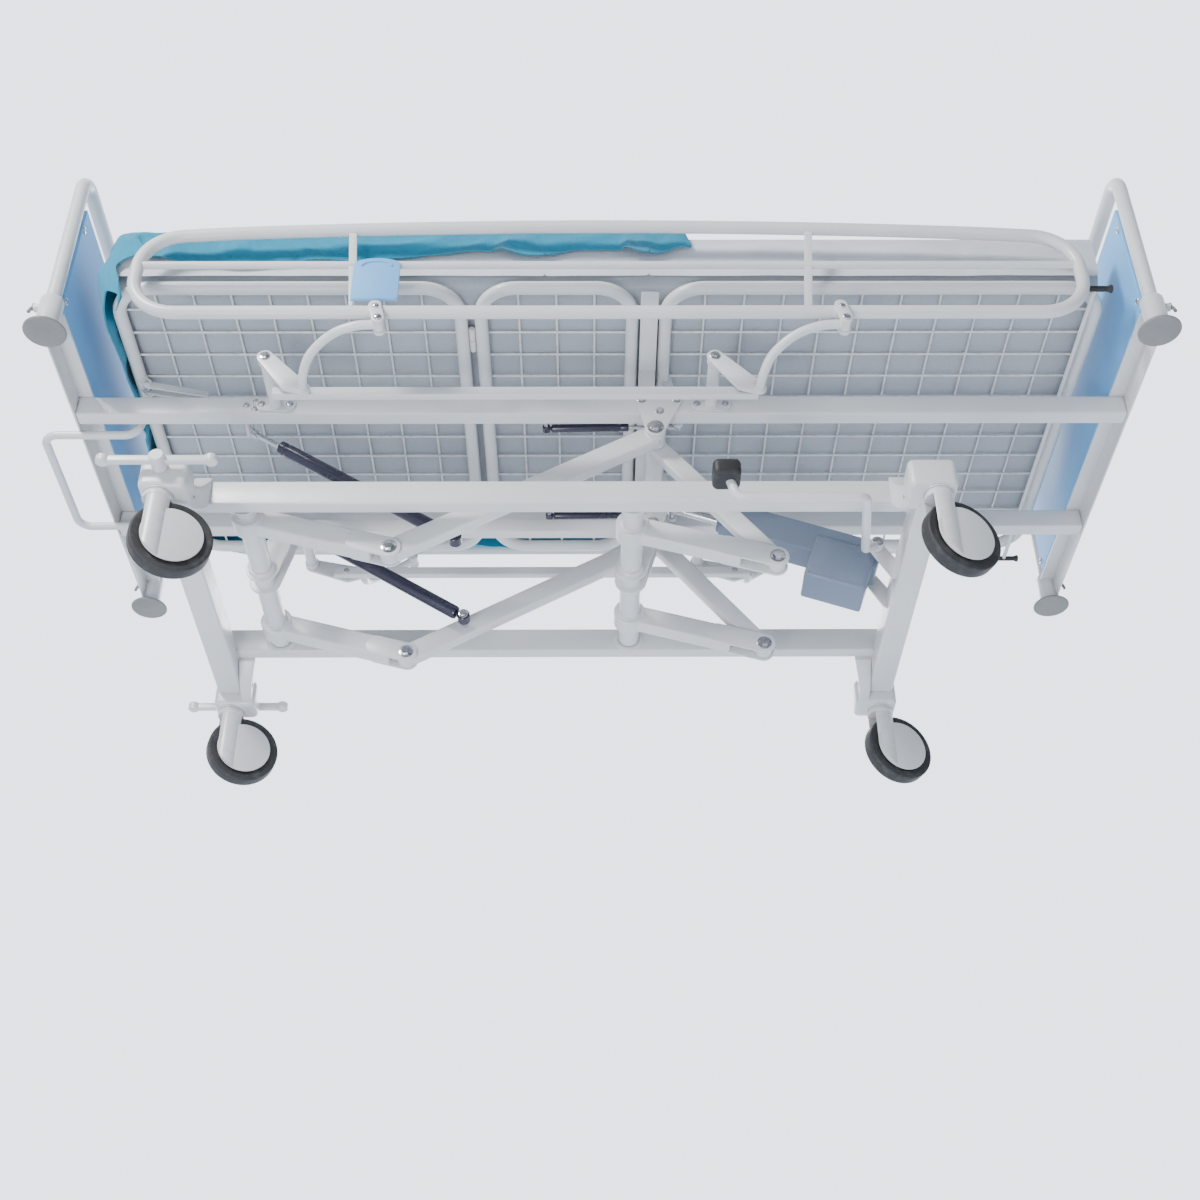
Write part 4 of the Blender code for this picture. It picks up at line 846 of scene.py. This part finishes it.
def build_board(end, out):
    x = out * SLEEVE_X
    path = rounded_path([(x, -SLEEVE_Y, 0.5280), (x, -SLEEVE_Y, HOOP_TOP), (x, SLEEVE_Y, HOOP_TOP),
                         (x, SLEEVE_Y, 0.5280)], HOOP_CORNER, 12)
    hoop, bolts = [tube(path, HOOP_R, resolution=7)], []
    panel = [block((x - out * 0.005, x - out * 0.013), (-0.450, 0.450), (0.600, 0.890), 0.0028, 4)]
    for _, side in SIDES:
        for z in (0.625, 0.836):
            hoop.append(block((x - out * 0.0012, x - out * 0.0046), (side * 0.430, side * 0.462),
                              (z - 0.012, z + 0.012), 0.0012, 2))
            bolts += dome_screw((x - out * 0.013, side * 0.441, z), (-out, 0, 0), 0.0075, 0.0042)
            bolts += hex_bolt((x - out * 0.0012, side * 0.438, z), (out, 0, 0), 0.0058, 0.0036)
    stand_in(f"board_hoop_{end}", hoop, "white_paint")
    stand_in(f"board_panel_{end}", panel, "light_blue", {"chrome": bolts})
    for name, side in SIDES:
        base = (x, side * SLEEVE_Y, 0)
        z0, z1 = DISC_Z
        disc = turned([(0.0085, z0 - 0.0004), (0.010, z0 - 0.0004), (0.0105, z0), (0.036, z0),
                       (0.0410, z0 + 0.0006), (DISC_R, z0 + 0.0024), (DISC_R, z1 - 0.0024),
                       (0.0410, z1 - 0.0006), (0.036, z1), (0.012, z1)], base, (base[0], base[1], 1), 64)
        stand_in(f"bumper_disc_{end}_{name}", [disc], "grey_plastic")


# ---------------------------------------------------------------- lying surface
def deck_section(limits):
    """Tube loop with the welded wire grid: cross wires lie on the long wires."""
    x0, x1 = limits[0] + DECK_R, limits[1] - DECK_R
    corners = [(x0, -DECK_Y, DECK_Z), (x1, -DECK_Y, DECK_Z), (x1, DECK_Y, DECK_Z), (x0, DECK_Y, DECK_Z)]
    radius = DECK_CORNER - DECK_R
    parts = [tube(rounded_path(corners, radius, 10, closed=True), DECK_R, closed=True, resolution=6)]
    low, high = DECK_Z + 0.0072, DECK_Z + 0.0108

    def inset(distance):
        """How far the loop's corner pulls in a wire that lies this far from the loop's side."""
        if distance >= radius:
            return 0.0
        return radius - math.sqrt(max(0.0, radius ** 2 - (radius - distance) ** 2))

    count = round((x1 - x0) / WIRE_PITCH_X)
    for k in range(1, count):
        x = x0 + (x1 - x0) * k / count
        half = DECK_Y - inset(min(x - x0, x1 - x))
        parts.append(tube([(x, -half, high), (x, half, high)], WIRE_R, resolution=2))
    count = round(2 * DECK_Y / WIRE_PITCH_Y)
    for k in range(1, count):
        y = -DECK_Y + 2 * DECK_Y * k / count
        cut = inset(DECK_Y - abs(y))
        parts.append(tube([(x0 + cut, y, low), (x1 - cut, y, low)], WIRE_R, resolution=2))
    return parts


def build_deck():
    calf = deck_section(CALF_X)
    for y in (-0.1785, -0.1455):
        calf.append(link([(CALF_X[0] + DECK_R, DECK_Z - 0.004, 0.008), (*STRUT_PIVOT, 0.010)], y, y + 0.005))
    for side in (-1, 1):
        calf.append(rod((KNEE_X, side * 0.255, DECK_Z), (KNEE_X, side * 0.285, DECK_Z), HINGE_R))
        calf.append(collar((KNEE_X, DECK_Z), side * 0.2535, 0.0030, 0.0064, 0.0012))
    stand_in("calf_frame", calf, "white_paint")
    thigh = deck_section(THIGH_X)
    for side in (-1, 1):
        thigh.append(rod((KNEE_X, side * 0.2865, DECK_Z), (KNEE_X, side * 0.318, DECK_Z), HINGE_R))
    stand_in("thigh_frame", thigh, "white_paint")
    back = deck_section(BACK_X)
    for side in (-1, 1):
        back.append(link([(BACK_HINGE_X + 0.009, DECK_Z - 0.003, 0.011), (*BACK_SPRING_LUG, 0.012)],
                         side * 0.1600, side * 0.1650))
    stand_in("back_frame", back, "white_paint")

    bars, pins = [], [pin(STRUT_PIVOT, -0.1800, -0.1390, 0.0044), pin(STRUT_END, -0.1715, -0.1475, 0.0040)]
    for y in (-0.1720, -0.1520):
        bars.append(link([(*STRUT_PIVOT, 0.0085), (*STRUT_END, 0.0065)], y, y + 0.005))
    stand_in("calf_strut", bars, "white_paint", {"chrome": pins})

    x, z = RELEASE_AXIS
    grips, bar = [], [rod((x, -0.456, z), (x, 0.456, z), 0.0048)]
    for side in (-1, 1):
        grip = [(0.0040, 0.0), (0.0052, 0.0012)]
        grip += [(0.0056 + 0.0008 * (k % 2), 0.004 + 0.0026 * k) for k in range(15)]
        grip += [(0.0062, 0.046), (0.0086, 0.052), (0.0088, 0.0535), (0.0070, 0.055)]
        start = (x - 0.020, side * 0.456, z)
        grips.append(turned(grip, start, (x, side * 0.456, z), 28))
    stand_in("release_handles", grips, "black_rubber", {"white_paint": bar})


# ---------------------------------------------------------------- side rails
def swing(by, angle):
    c, s = math.cos(angle), math.sin(angle)
    return (by[0] * c - by[1] * s, by[0] * s + by[1] * c)


def shift_of(by, angle):
    turned_by = swing(by, angle)
    return Matrix.Translation((turned_by[0] - by[0], 0, turned_by[1] - by[1]))


def guard_path(y):
    """The side rail's closed loop, with a top that bows up in the middle."""
    (x0, x1), (low, high), crown, radius, corner_steps = GUARD_X, GUARD_Z, 0.0275, 0.092, 10
    corners = [(x1, y, high), (x0, y, high), (x0, y, low), (x1, y, low)]
    path = rounded_path(corners, radius, corner_steps, closed=True)
    left, right = x0 + radius, x1 - radius
    steps = 24
    for k in range(1, steps):
        t = k / steps
        rise = crown * math.sin(math.pi * t) ** 0.8
        path.insert(corner_steps + k, Vector((right + (left - right) * t, y, high + rise)))
    return path


def build_side_rail(name, side):
    y, angle = side * GUARD_Y, GUARD_RAISED[name]
    by_rail = shift_of(CRANK_RAIL, angle)
    parts = [tube(guard_path(y), GUARD_R, closed=True, resolution=6),
             rod((GUARD_X[0], y, 0.684), (GUARD_X[1], y, 0.684), 0.008)]
    crown_z, bolts = 0.7975, []
    for low_x, top_x in ((-0.496, -0.515), (0.406, 0.425)):
        lean = (top_x - low_x) / (crown_z - GUARD_Z[0])
        outline = [(low_x - 0.008, GUARD_Z[0]), (low_x + 0.008, GUARD_Z[0]),
                   (low_x + 0.008 + lean * 0.238, 0.788), (low_x - 0.008 + lean * 0.238, 0.788)]
        parts.append(plate(outline, y - 0.004, y + 0.004, 0.0012))
    for pivot in CRANK_PIVOT.values():
        low = offset(pivot, CRANK_RAIL)
        for face in (-1, 1):
            parts.append(link([(*low, 0.0125), (low[0] - 0.008, 0.552, 0.0125)],
                              y + face * 0.0122, y + face * 0.0205, 0.0014))
            bolts += dome_screw((low[0] - 0.006, y + face * 0.0205, 0.548), (0, face, 0), 0.0062, 0.0034)
        parts.append(block((low[0] - 0.0195, low[0] + 0.0040), (y - 0.0195, y + 0.0195),
                           (0.5335, 0.5625), 0.003))
    moved(parts + bolts, by_rail)
    stand_in(f"side_rail_{name}", parts, "white_paint", {"chrome": bolts})

    out = side * 0.0092
    arch = [(-0.502, 0.571), (-0.408, 0.571)]
    arch += [(LATCH_X + 0.047 * math.cos(a), 0.672 + 0.018 * math.sin(a))
             for a in (math.pi * k / 24 for k in range(25))]
    latch = [plate(arch, y + out, y + out + side * 0.0052, 0.0014)]
    grip = [(LATCH_X + 0.030 * math.cos(a), 0.666 + 0.014 * math.sin(a))
            for a in (math.pi * k / 20 for k in range(21))]
    lip = [Vector((a, y + out + side * 0.0056, b)) for a, b in grip]
    latch.append(tube(lip, 0.0022, resolution=4))
    latch.append(block((-0.500, -0.410), (y + out, y + out + side * 0.0075), (0.5712, 0.5765), 0.0016))
    stand_in(f"latch_plate_{name}", moved(latch, by_rail), "light_blue")

    for end in ("foot", "head"):
        build_crank(end, name, side, angle)
    pins = [offset(CRANK_PIVOT[end], CRANK_SYNC) for end in ("foot", "head")]
    bar = block((pins[0][0] - 0.030, pins[1][0] + 0.036), (side * SYNC_Y[0], side * SYNC_Y[1]),
                (pins[0][1] - 0.0115, pins[0][1] + 0.0115), 0.0030, 4)
    stand_in(f"sync_bar_{name}", moved([bar], shift_of(CRANK_SYNC, angle)), "white_paint")


def build_crank(end, name, side, angle):
    px, pz = CRANK_PIVOT[end]
    at_link, eye, sync = (offset((px, pz), by) for by in (CRANK_LINK, CRANK_RAIL, CRANK_SYNC))
    y = side * GUARD_Y
    arm = smooth_path([
        (at_link[0], side * 0.354, at_link[1]), (at_link[0] + 0.004, side * 0.390, at_link[1] + 0.004),
        (px + 0.108, side * 0.430, pz - 0.064), (px + 0.150, side * 0.464, pz - 0.045),
        (px + 0.198, side * 0.482, eye[1] - 0.002), (eye[0], y, eye[1]),
    ], 8)
    parts = [link([(px, pz, 0.0165), (*at_link, 0.0140), (*sync, 0.0110)],
                  side * 0.3527, side * 0.3605, 0.0012),
             tube(arm, 0.0095), pin(eye, y - 0.0112, y + 0.0112, 0.0112, 0.001),
             bead(at_link, side * 0.3608, 0.0096, 0.0020)]
    bolts = [pin(sync, side * (SYNC_Y[0] - 0.002), side * 0.355, 0.0050),
             pin(eye, y - 0.0215, y + 0.0215, 0.0050)]
    bolts += dome_screw((sync[0], side * SYNC_Y[0], sync[1]), (0, -side, 0), 0.0070, 0.0030)
    for face in (-1, 1):
        bolts += dome_screw((eye[0], y + face * 0.0205, eye[1]), (0, face, 0), 0.0080, 0.0042)
    turn = (Matrix.Translation((px, 0, pz)) @ Matrix.Rotation(-angle, 4, "Y")
            @ Matrix.Translation((-px, 0, -pz)))
    moved(parts + bolts, turn)
    stand_in(f"crank_{end}_{name}", parts, "white_paint", {"chrome": bolts})


# ---------------------------------------------------------------- soft goods
SEAT_X = 0.0965          # the fixed strip between the thigh and back sections
MID_THIGH_X = -0.120
SMOOTH_CLOTH = math.radians(60)
MATTRESS_NODES = {"calf": "mattress_calf", "seat": "mattress_thigh", "back": "mattress_back"}
SHEET_HANG = 0.118       # how far the sheet comes down each side
BLANKET_X, BLANKET_Y = (-1.170, 0.235), (-0.550, 0.600)
CLOTH_CELL, CLOTH_GAP, SETTLE_FRAMES = 0.016, 0.003, 45
CLOTH_MASS, CLOTH_STIFFNESS, CLOTH_BENDING = 0.25, 8.0, 0.35
SOFT_SPANS = (           # part, its X limits, and the two bodies on either side of its hinge
    ("calf", -9.0, MID_THIGH_X, "calf", "thigh", KNEE_X - 0.075, KNEE_X + 0.075),
    ("seat", MID_THIGH_X, SEAT_X, "thigh", "bed", THIGH_HINGE_X - 0.080, THIGH_HINGE_X + 0.025),
    ("back", SEAT_X, 9.0, "bed", "backrest", BACK_HINGE_X - 0.020, BACK_HINGE_X + 0.110),
)


def wobble(*at):
    return noise.noise(Vector(at))


def split_soft(name, mesh, material, nodes, thick=0.0):
    """Cuts a soft mesh at two lines across the bed into parts, one over each hinge."""
    made = []
    for part, x0, x1, body_a, body_b, start, end in SOFT_SPANS:
        bm = bmesh.new()
        bm.from_mesh(mesh)
        for limit, sign in ((x0, -1), (x1, 1)):
            bmesh.ops.bisect_plane(bm, geom=bm.verts[:] + bm.edges[:] + bm.faces[:], dist=1e-6,
                                   plane_co=(limit, 0, 0), plane_no=(sign, 0, 0), clear_outer=True)
        if not bm.faces:
            bm.free()
            continue
        cut = to_mesh(bm, f"{name}_{part}")
        if thick:
            cut = thickened(cut, thick)
        cut.shade_smooth()
        cut.set_sharp_from_angle(angle=SMOOTH_CLOTH)
        cut.transform(Matrix.Translation(ORIGIN))
        obj = linked(f"{name}_{part}", cut)
        obj.data.materials.clear()
        obj.data.materials.append(MATERIALS[material])
        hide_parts(nodes[part])
        made.append((obj, body_a, body_b, start, end))
    return made


def bend(made):
    for obj, body_a, body_b, start, end in made:
        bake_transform(obj)


def soft_slab(x, y, z, crown, bulge, cell=0.016, corner=0.030):
    """A foam mattress: rounded edges, a crowned top, sides that swell, and gentle hollows."""
    (x0, x1), (z0, z1) = x, z
    nx, ny, nz = round((x1 - x0) / cell), round(2 * y / cell), 7
    bm = bmesh.new()
    bmesh.ops.create_cube(bm, size=1)
    for axis, cuts in ((0, nx), (1, ny), (2, nz)):
        for k in range(1, cuts):
            co, no = Vector((0, 0, 0)), Vector((0, 0, 0))
            co[axis], no[axis] = -0.5 + k / cuts, 1
            bmesh.ops.bisect_plane(bm, geom=bm.verts[:] + bm.edges[:] + bm.faces[:], dist=1e-7, plane_co=co,
                                   plane_no=no)
    half = Vector(((x1 - x0) / 2, y, (z1 - z0) / 2))
    centre = Vector(((x0 + x1) / 2, 0, (z0 + z1) / 2))
    for v in bm.verts:
        p = Vector((v.co.x * 2 * half.x, v.co.y * 2 * half.y, v.co.z * 2 * half.z))
        core = Vector([max(-half[i] + corner, min(half[i] - corner, p[i])) for i in range(3)])
        gap = p - core
        if gap.length > 1e-9:
            p = core + gap.normalized() * min(corner, gap.length)
        u, w, h = p.x / half.x, p.y / half.y, p.z / half.z
        if p.z > 0:
            p.z += crown * (1 - abs(u) ** 6) * (1 - w ** 4) * h
            p.z += 0.0030 * wobble(p.x * 3.1, p.y * 4.3, 1.7) * h
        if abs(w) > 0.9:
            swell = bulge * (1 - h * h) + 0.0022 * wobble(p.x * 6.0, p.z * 22.0, 4.0)
            p.y += math.copysign(swell, p.y)
        if abs(u) > 0.97:
            p.x += math.copysign(bulge * (1 - h * h), p.x)
        v.co = centre + p
    return closed_mesh(bm, 80)


def build_mattress():
    z0, z1 = MATTRESS_Z
    slab = soft_slab(MATTRESS_X, MATTRESS_Y - 0.006, (z0 + 0.001, z1 - 0.008), 0.004, 0.005)
    made = split_soft("foam", slab, "mattress_cloth", MATTRESS_NODES)
    bend(made)


def cloth_grid(x, y, z, cell):
    """A flat cloth of square cells."""
    nx, ny = round((x[1] - x[0]) / cell), round((y[1] - y[0]) / cell)
    bm = bmesh.new()
    bmesh.ops.create_grid(bm, x_segments=nx, y_segments=ny, size=0.5)
    for v in bm.verts:
        v.co = Vector((x[0] + (v.co.x + 0.5) * (x[1] - x[0]), y[0] + (v.co.y + 0.5) * (y[1] - y[0]), z))
    return to_mesh(bm, "cloth")


def simulate(mesh, solids, frames):
    """Lets a cloth mesh fall on solid meshes, and returns its final shape."""
    scene = bpy.context.scene
    obj = linked("cloth", mesh)
    walls = []
    for solid in solids:
        wall = linked("solid", solid)
        wall.modifiers.new("hit", "COLLISION")
        wall.collision.thickness_outer = CLOTH_GAP
        wall.collision.cloth_friction = 12
        walls.append(wall)
    mod = obj.modifiers.new("cloth", "CLOTH")
    s = mod.settings
    s.quality, s.mass, s.air_damping = 7, CLOTH_MASS, 2.0
    s.tension_stiffness = s.compression_stiffness = CLOTH_STIFFNESS * 4
    s.shear_stiffness, s.bending_stiffness = CLOTH_STIFFNESS, CLOTH_BENDING
    mod.collision_settings.collision_quality = 4
    mod.collision_settings.distance_min = CLOTH_GAP
    mod.point_cache.frame_start, mod.point_cache.frame_end = 1, frames
    for frame_number in range(1, frames + 1):
        scene.frame_set(frame_number)
    result = evaluated(obj)
    for wall in walls:
        bpy.data.objects.remove(wall, do_unlink=True)
    scene.frame_set(1)
    return result


def thickened(mesh, thick):
    """Gives a cloth surface its thickness and a finer grid."""
    obj = linked("thick", mesh)
    fine = obj.modifiers.new("fine", "SUBSURF")
    fine.levels = fine.render_levels = 1
    solid = obj.modifiers.new("solid", "SOLIDIFY")
    solid.thickness, solid.offset = thick, 0.0
    return evaluated(obj)


def drape_shape(x, y, top, hang, seed, wave):
    """A laid cloth worked out by formula: flat over the top, turned down over the sides, with soft folds."""
    total = y + hang
    mesh = cloth_grid(x, (-total, total), 0, CLOTH_CELL)
    for v in mesh.vertices:
        along, across = v.co.x, v.co.y
        over = abs(across) - y
        fold = wobble(along * 5.2, seed, 0.3) + 0.5 * wobble(along * 13.0, seed, 2.0)
        ripple = 0.0022 * wobble(along * 7.0, across * 9.0, seed)
        if over <= 0:
            edge = max(0.0, 1 - abs(over) / 0.03)
            v.co = Vector((along, across, top + ripple * (1 - edge) - 0.004 * edge * edge))
        else:
            out = y + 0.004 + wave * (0.5 + 0.5 * fold) * min(1.0, over / 0.03)
            v.co = Vector((along, math.copysign(out, across), top - 0.004 - over))
    return mesh


def build_sheet():
    """The sheet, over the mattress and down its two sides."""
    z1 = MATTRESS_Z[1]
    x0, x1 = MATTRESS_X[0] + 0.004, MATTRESS_X[1] - 0.004
    half = MATTRESS_Y - 0.001
    mesh = drape_shape((x0, x1), half, z1 - 0.0015, SHEET_HANG, 5.0, 0.0035)
    made = split_soft("bed_sheet", mesh, "sheet_cloth", MATTRESS_NODES, 0.0010)
    bend(made)


def build_blanket():
    """The blanket, let fall by simulation over the foot half, with a rumple at its near head corner."""
    z1 = MATTRESS_Z[1]
    y = MATTRESS_Y
    top = block((MATTRESS_X[0] - 0.001, MATTRESS_X[1]), (-y - 0.006, y + 0.006), (0.600, z1 + 0.001),
                0.012, 3)
    walls = [block((-1.3, 1.3), (side * 0.4690, side * 0.60), (0.40, 1.10), 0) for side in (-1, 1)]
    foot = block((-1.30, -1.0825), (-0.60, 0.60), (0.40, 1.10), 0)
    side_turn, foot_turn = y + 0.014, MATTRESS_X[0] - 0.014
    mesh = cloth_grid(BLANKET_X, BLANKET_Y, z1 + 0.012, CLOTH_CELL)
    for v in mesh.vertices:
        along, across = v.co.x, v.co.y
        ridge = wobble(along * 5.0 + across * 2.0, across * 2.2, 0.5)
        ripple = wobble(along * 13.0 - across * 4.0, across * 5.0, 3.5)
        v.co.z += 0.020 * abs(ridge) + 0.010 * ripple
        over = abs(across) - side_turn
        if over > 0:
            length = 1.0 + 0.24 * wobble(along * 4.6, across, 8.0)
            if across < 0:
                length *= 1.0 - 0.27 * min(1.0, max(0.0, (along + 0.50) / 0.40))
            fold = 0.5 + 0.5 * math.sin(along * 34.0 + 3.0 * wobble(along * 4.0, 0.0, 6.0))
            v.co.z -= over * length
            v.co.y = math.copysign(side_turn + 0.014 * fold * min(1.0, over / 0.05), across)
        over = foot_turn - along
        if over > 0:
            fold = 0.5 + 0.5 * math.sin(across * 26.0)
            v.co.z -= over
            v.co.x = foot_turn - 0.040 * fold * min(1.0, over / 0.06)
        over = along - 0.12
        if over > 0:
            v.co.x -= 0.45 * over * abs(math.sin(across * 7.5 + 1.2))
            v.co.z += 0.10 * over * abs(ripple)
    mesh = simulate(mesh, [top, foot] + walls, SETTLE_FRAMES)
    for v in mesh.vertices:
        rumple = math.exp(-((v.co.x - 0.165) / 0.035) ** 2 - ((v.co.y + 0.425) / 0.045) ** 2)
        v.co.z += 0.042 * rumple
        v.co.x += 0.022 * math.exp(-((v.co.x - 0.22) / 0.06) ** 2 - ((v.co.y + 0.45) / 0.05) ** 2)
    nodes = dict.fromkeys(MATTRESS_NODES, "blanket")
    made = split_soft("blanket", mesh, "blanket_cloth", nodes, 0.0032)
    bend(made)


# ---------------------------------------------------------------- stage, light and camera
FLOOR_Z = -3.6           # far below the bed, since the camera looks up from under it
CAMERA_LENS, CAMERA_AT = 49.36, (-0.031, -2.808, -1.803)


def build_stage():
    mat = bpy.data.materials.new("stage_pale")
    mat.use_nodes = True
    shader = mat.node_tree.nodes["Principled BSDF"]
    shader.inputs["Base Color"].default_value = (0.74, 0.77, 0.82, 1)
    shader.inputs["Roughness"].default_value = 0.9
    bpy.ops.mesh.primitive_plane_add(size=60, location=(0, 0, FLOOR_Z))
    floor = bpy.context.object
    floor.name = "floor"
    floor.data.materials.append(mat)

    world = bpy.data.worlds.new("studio")
    bpy.context.scene.world = world
    world.use_nodes = True
    nodes, links = world.node_tree.nodes, world.node_tree.links
    background = nodes["Background"]
    background.inputs["Color"].default_value = (0.70, 0.755, 0.84, 1)
    facing = nodes.new("ShaderNodeVectorMath")
    facing.operation = "DOT_PRODUCT"
    facing.inputs[1].default_value = (0, 0.815, 0.579)
    glow = nodes.new("ShaderNodeMapRange")
    glow.interpolation_type = "SMOOTHSTEP"
    for socket, value in (("From Min", 0.15), ("From Max", 0.86), ("To Min", 0.42), ("To Max", 3.7)):
        glow.inputs[socket].default_value = value
    links.new(nodes.new("ShaderNodeTexCoord").outputs["Generated"], facing.inputs[0])
    links.new(facing.outputs["Value"], glow.inputs["Value"])
    links.new(glow.outputs["Result"], background.inputs["Strength"])

    def area(name, location, target, size, power):
        data = bpy.data.lights.new(name, "AREA")
        data.shape, data.size, data.energy = "DISK", size, power
        lamp = linked(name, data)
        lamp.location = location
        lamp.rotation_euler = (Vector(target) - Vector(location)).to_track_quat("-Z", "Y").to_euler()

    area("key_over", (-2.6, -3.4, 2.6), (0, 0, 0.5), 1.2, 300)
    area("fill_under", (-1.5, -2.6, -3.0), (0, 0, 0.5), 1.0, 75)
    area("rim_back", (0.6, 3.4, 2.6), (0, 0, 0.6), 2.4, 80)


def build_camera():
    data = bpy.data.cameras.new("camera")
    data.lens, data.sensor_width = CAMERA_LENS, 36.0
    camera = linked("camera", data)
    place = Matrix.Translation(Vector(CAMERA_AT) + ORIGIN)
    aim = (Matrix.Rotation(-0.008694, 4, "Z") @ Matrix.Rotation(math.pi / 2 + 0.61863, 4, "X")
           @ Matrix.Rotation(-0.00697, 4, "Z"))
    camera.matrix_world = place @ aim
    bpy.context.scene.camera = camera


def main():
    build_camera()
    build_stage()
    build_base()
    build_brake()
    for end, out in ENDS:
        for name, side in SIDES:
            build_bracket(end, name, side)
            build_caster(end, name, side)
        build_lift_arms(end)
        build_end_cross(end, out)
        build_board(end, out)
    build_push_rod()
    build_upper_arms()
    build_pump()
    build_pedal()
    build_springs()
    build_bed_frame()
    build_deck()
    for name, side in SIDES:
        build_side_rail(name, side)
    build_mattress()
    build_sheet()
    build_blanket()


main()
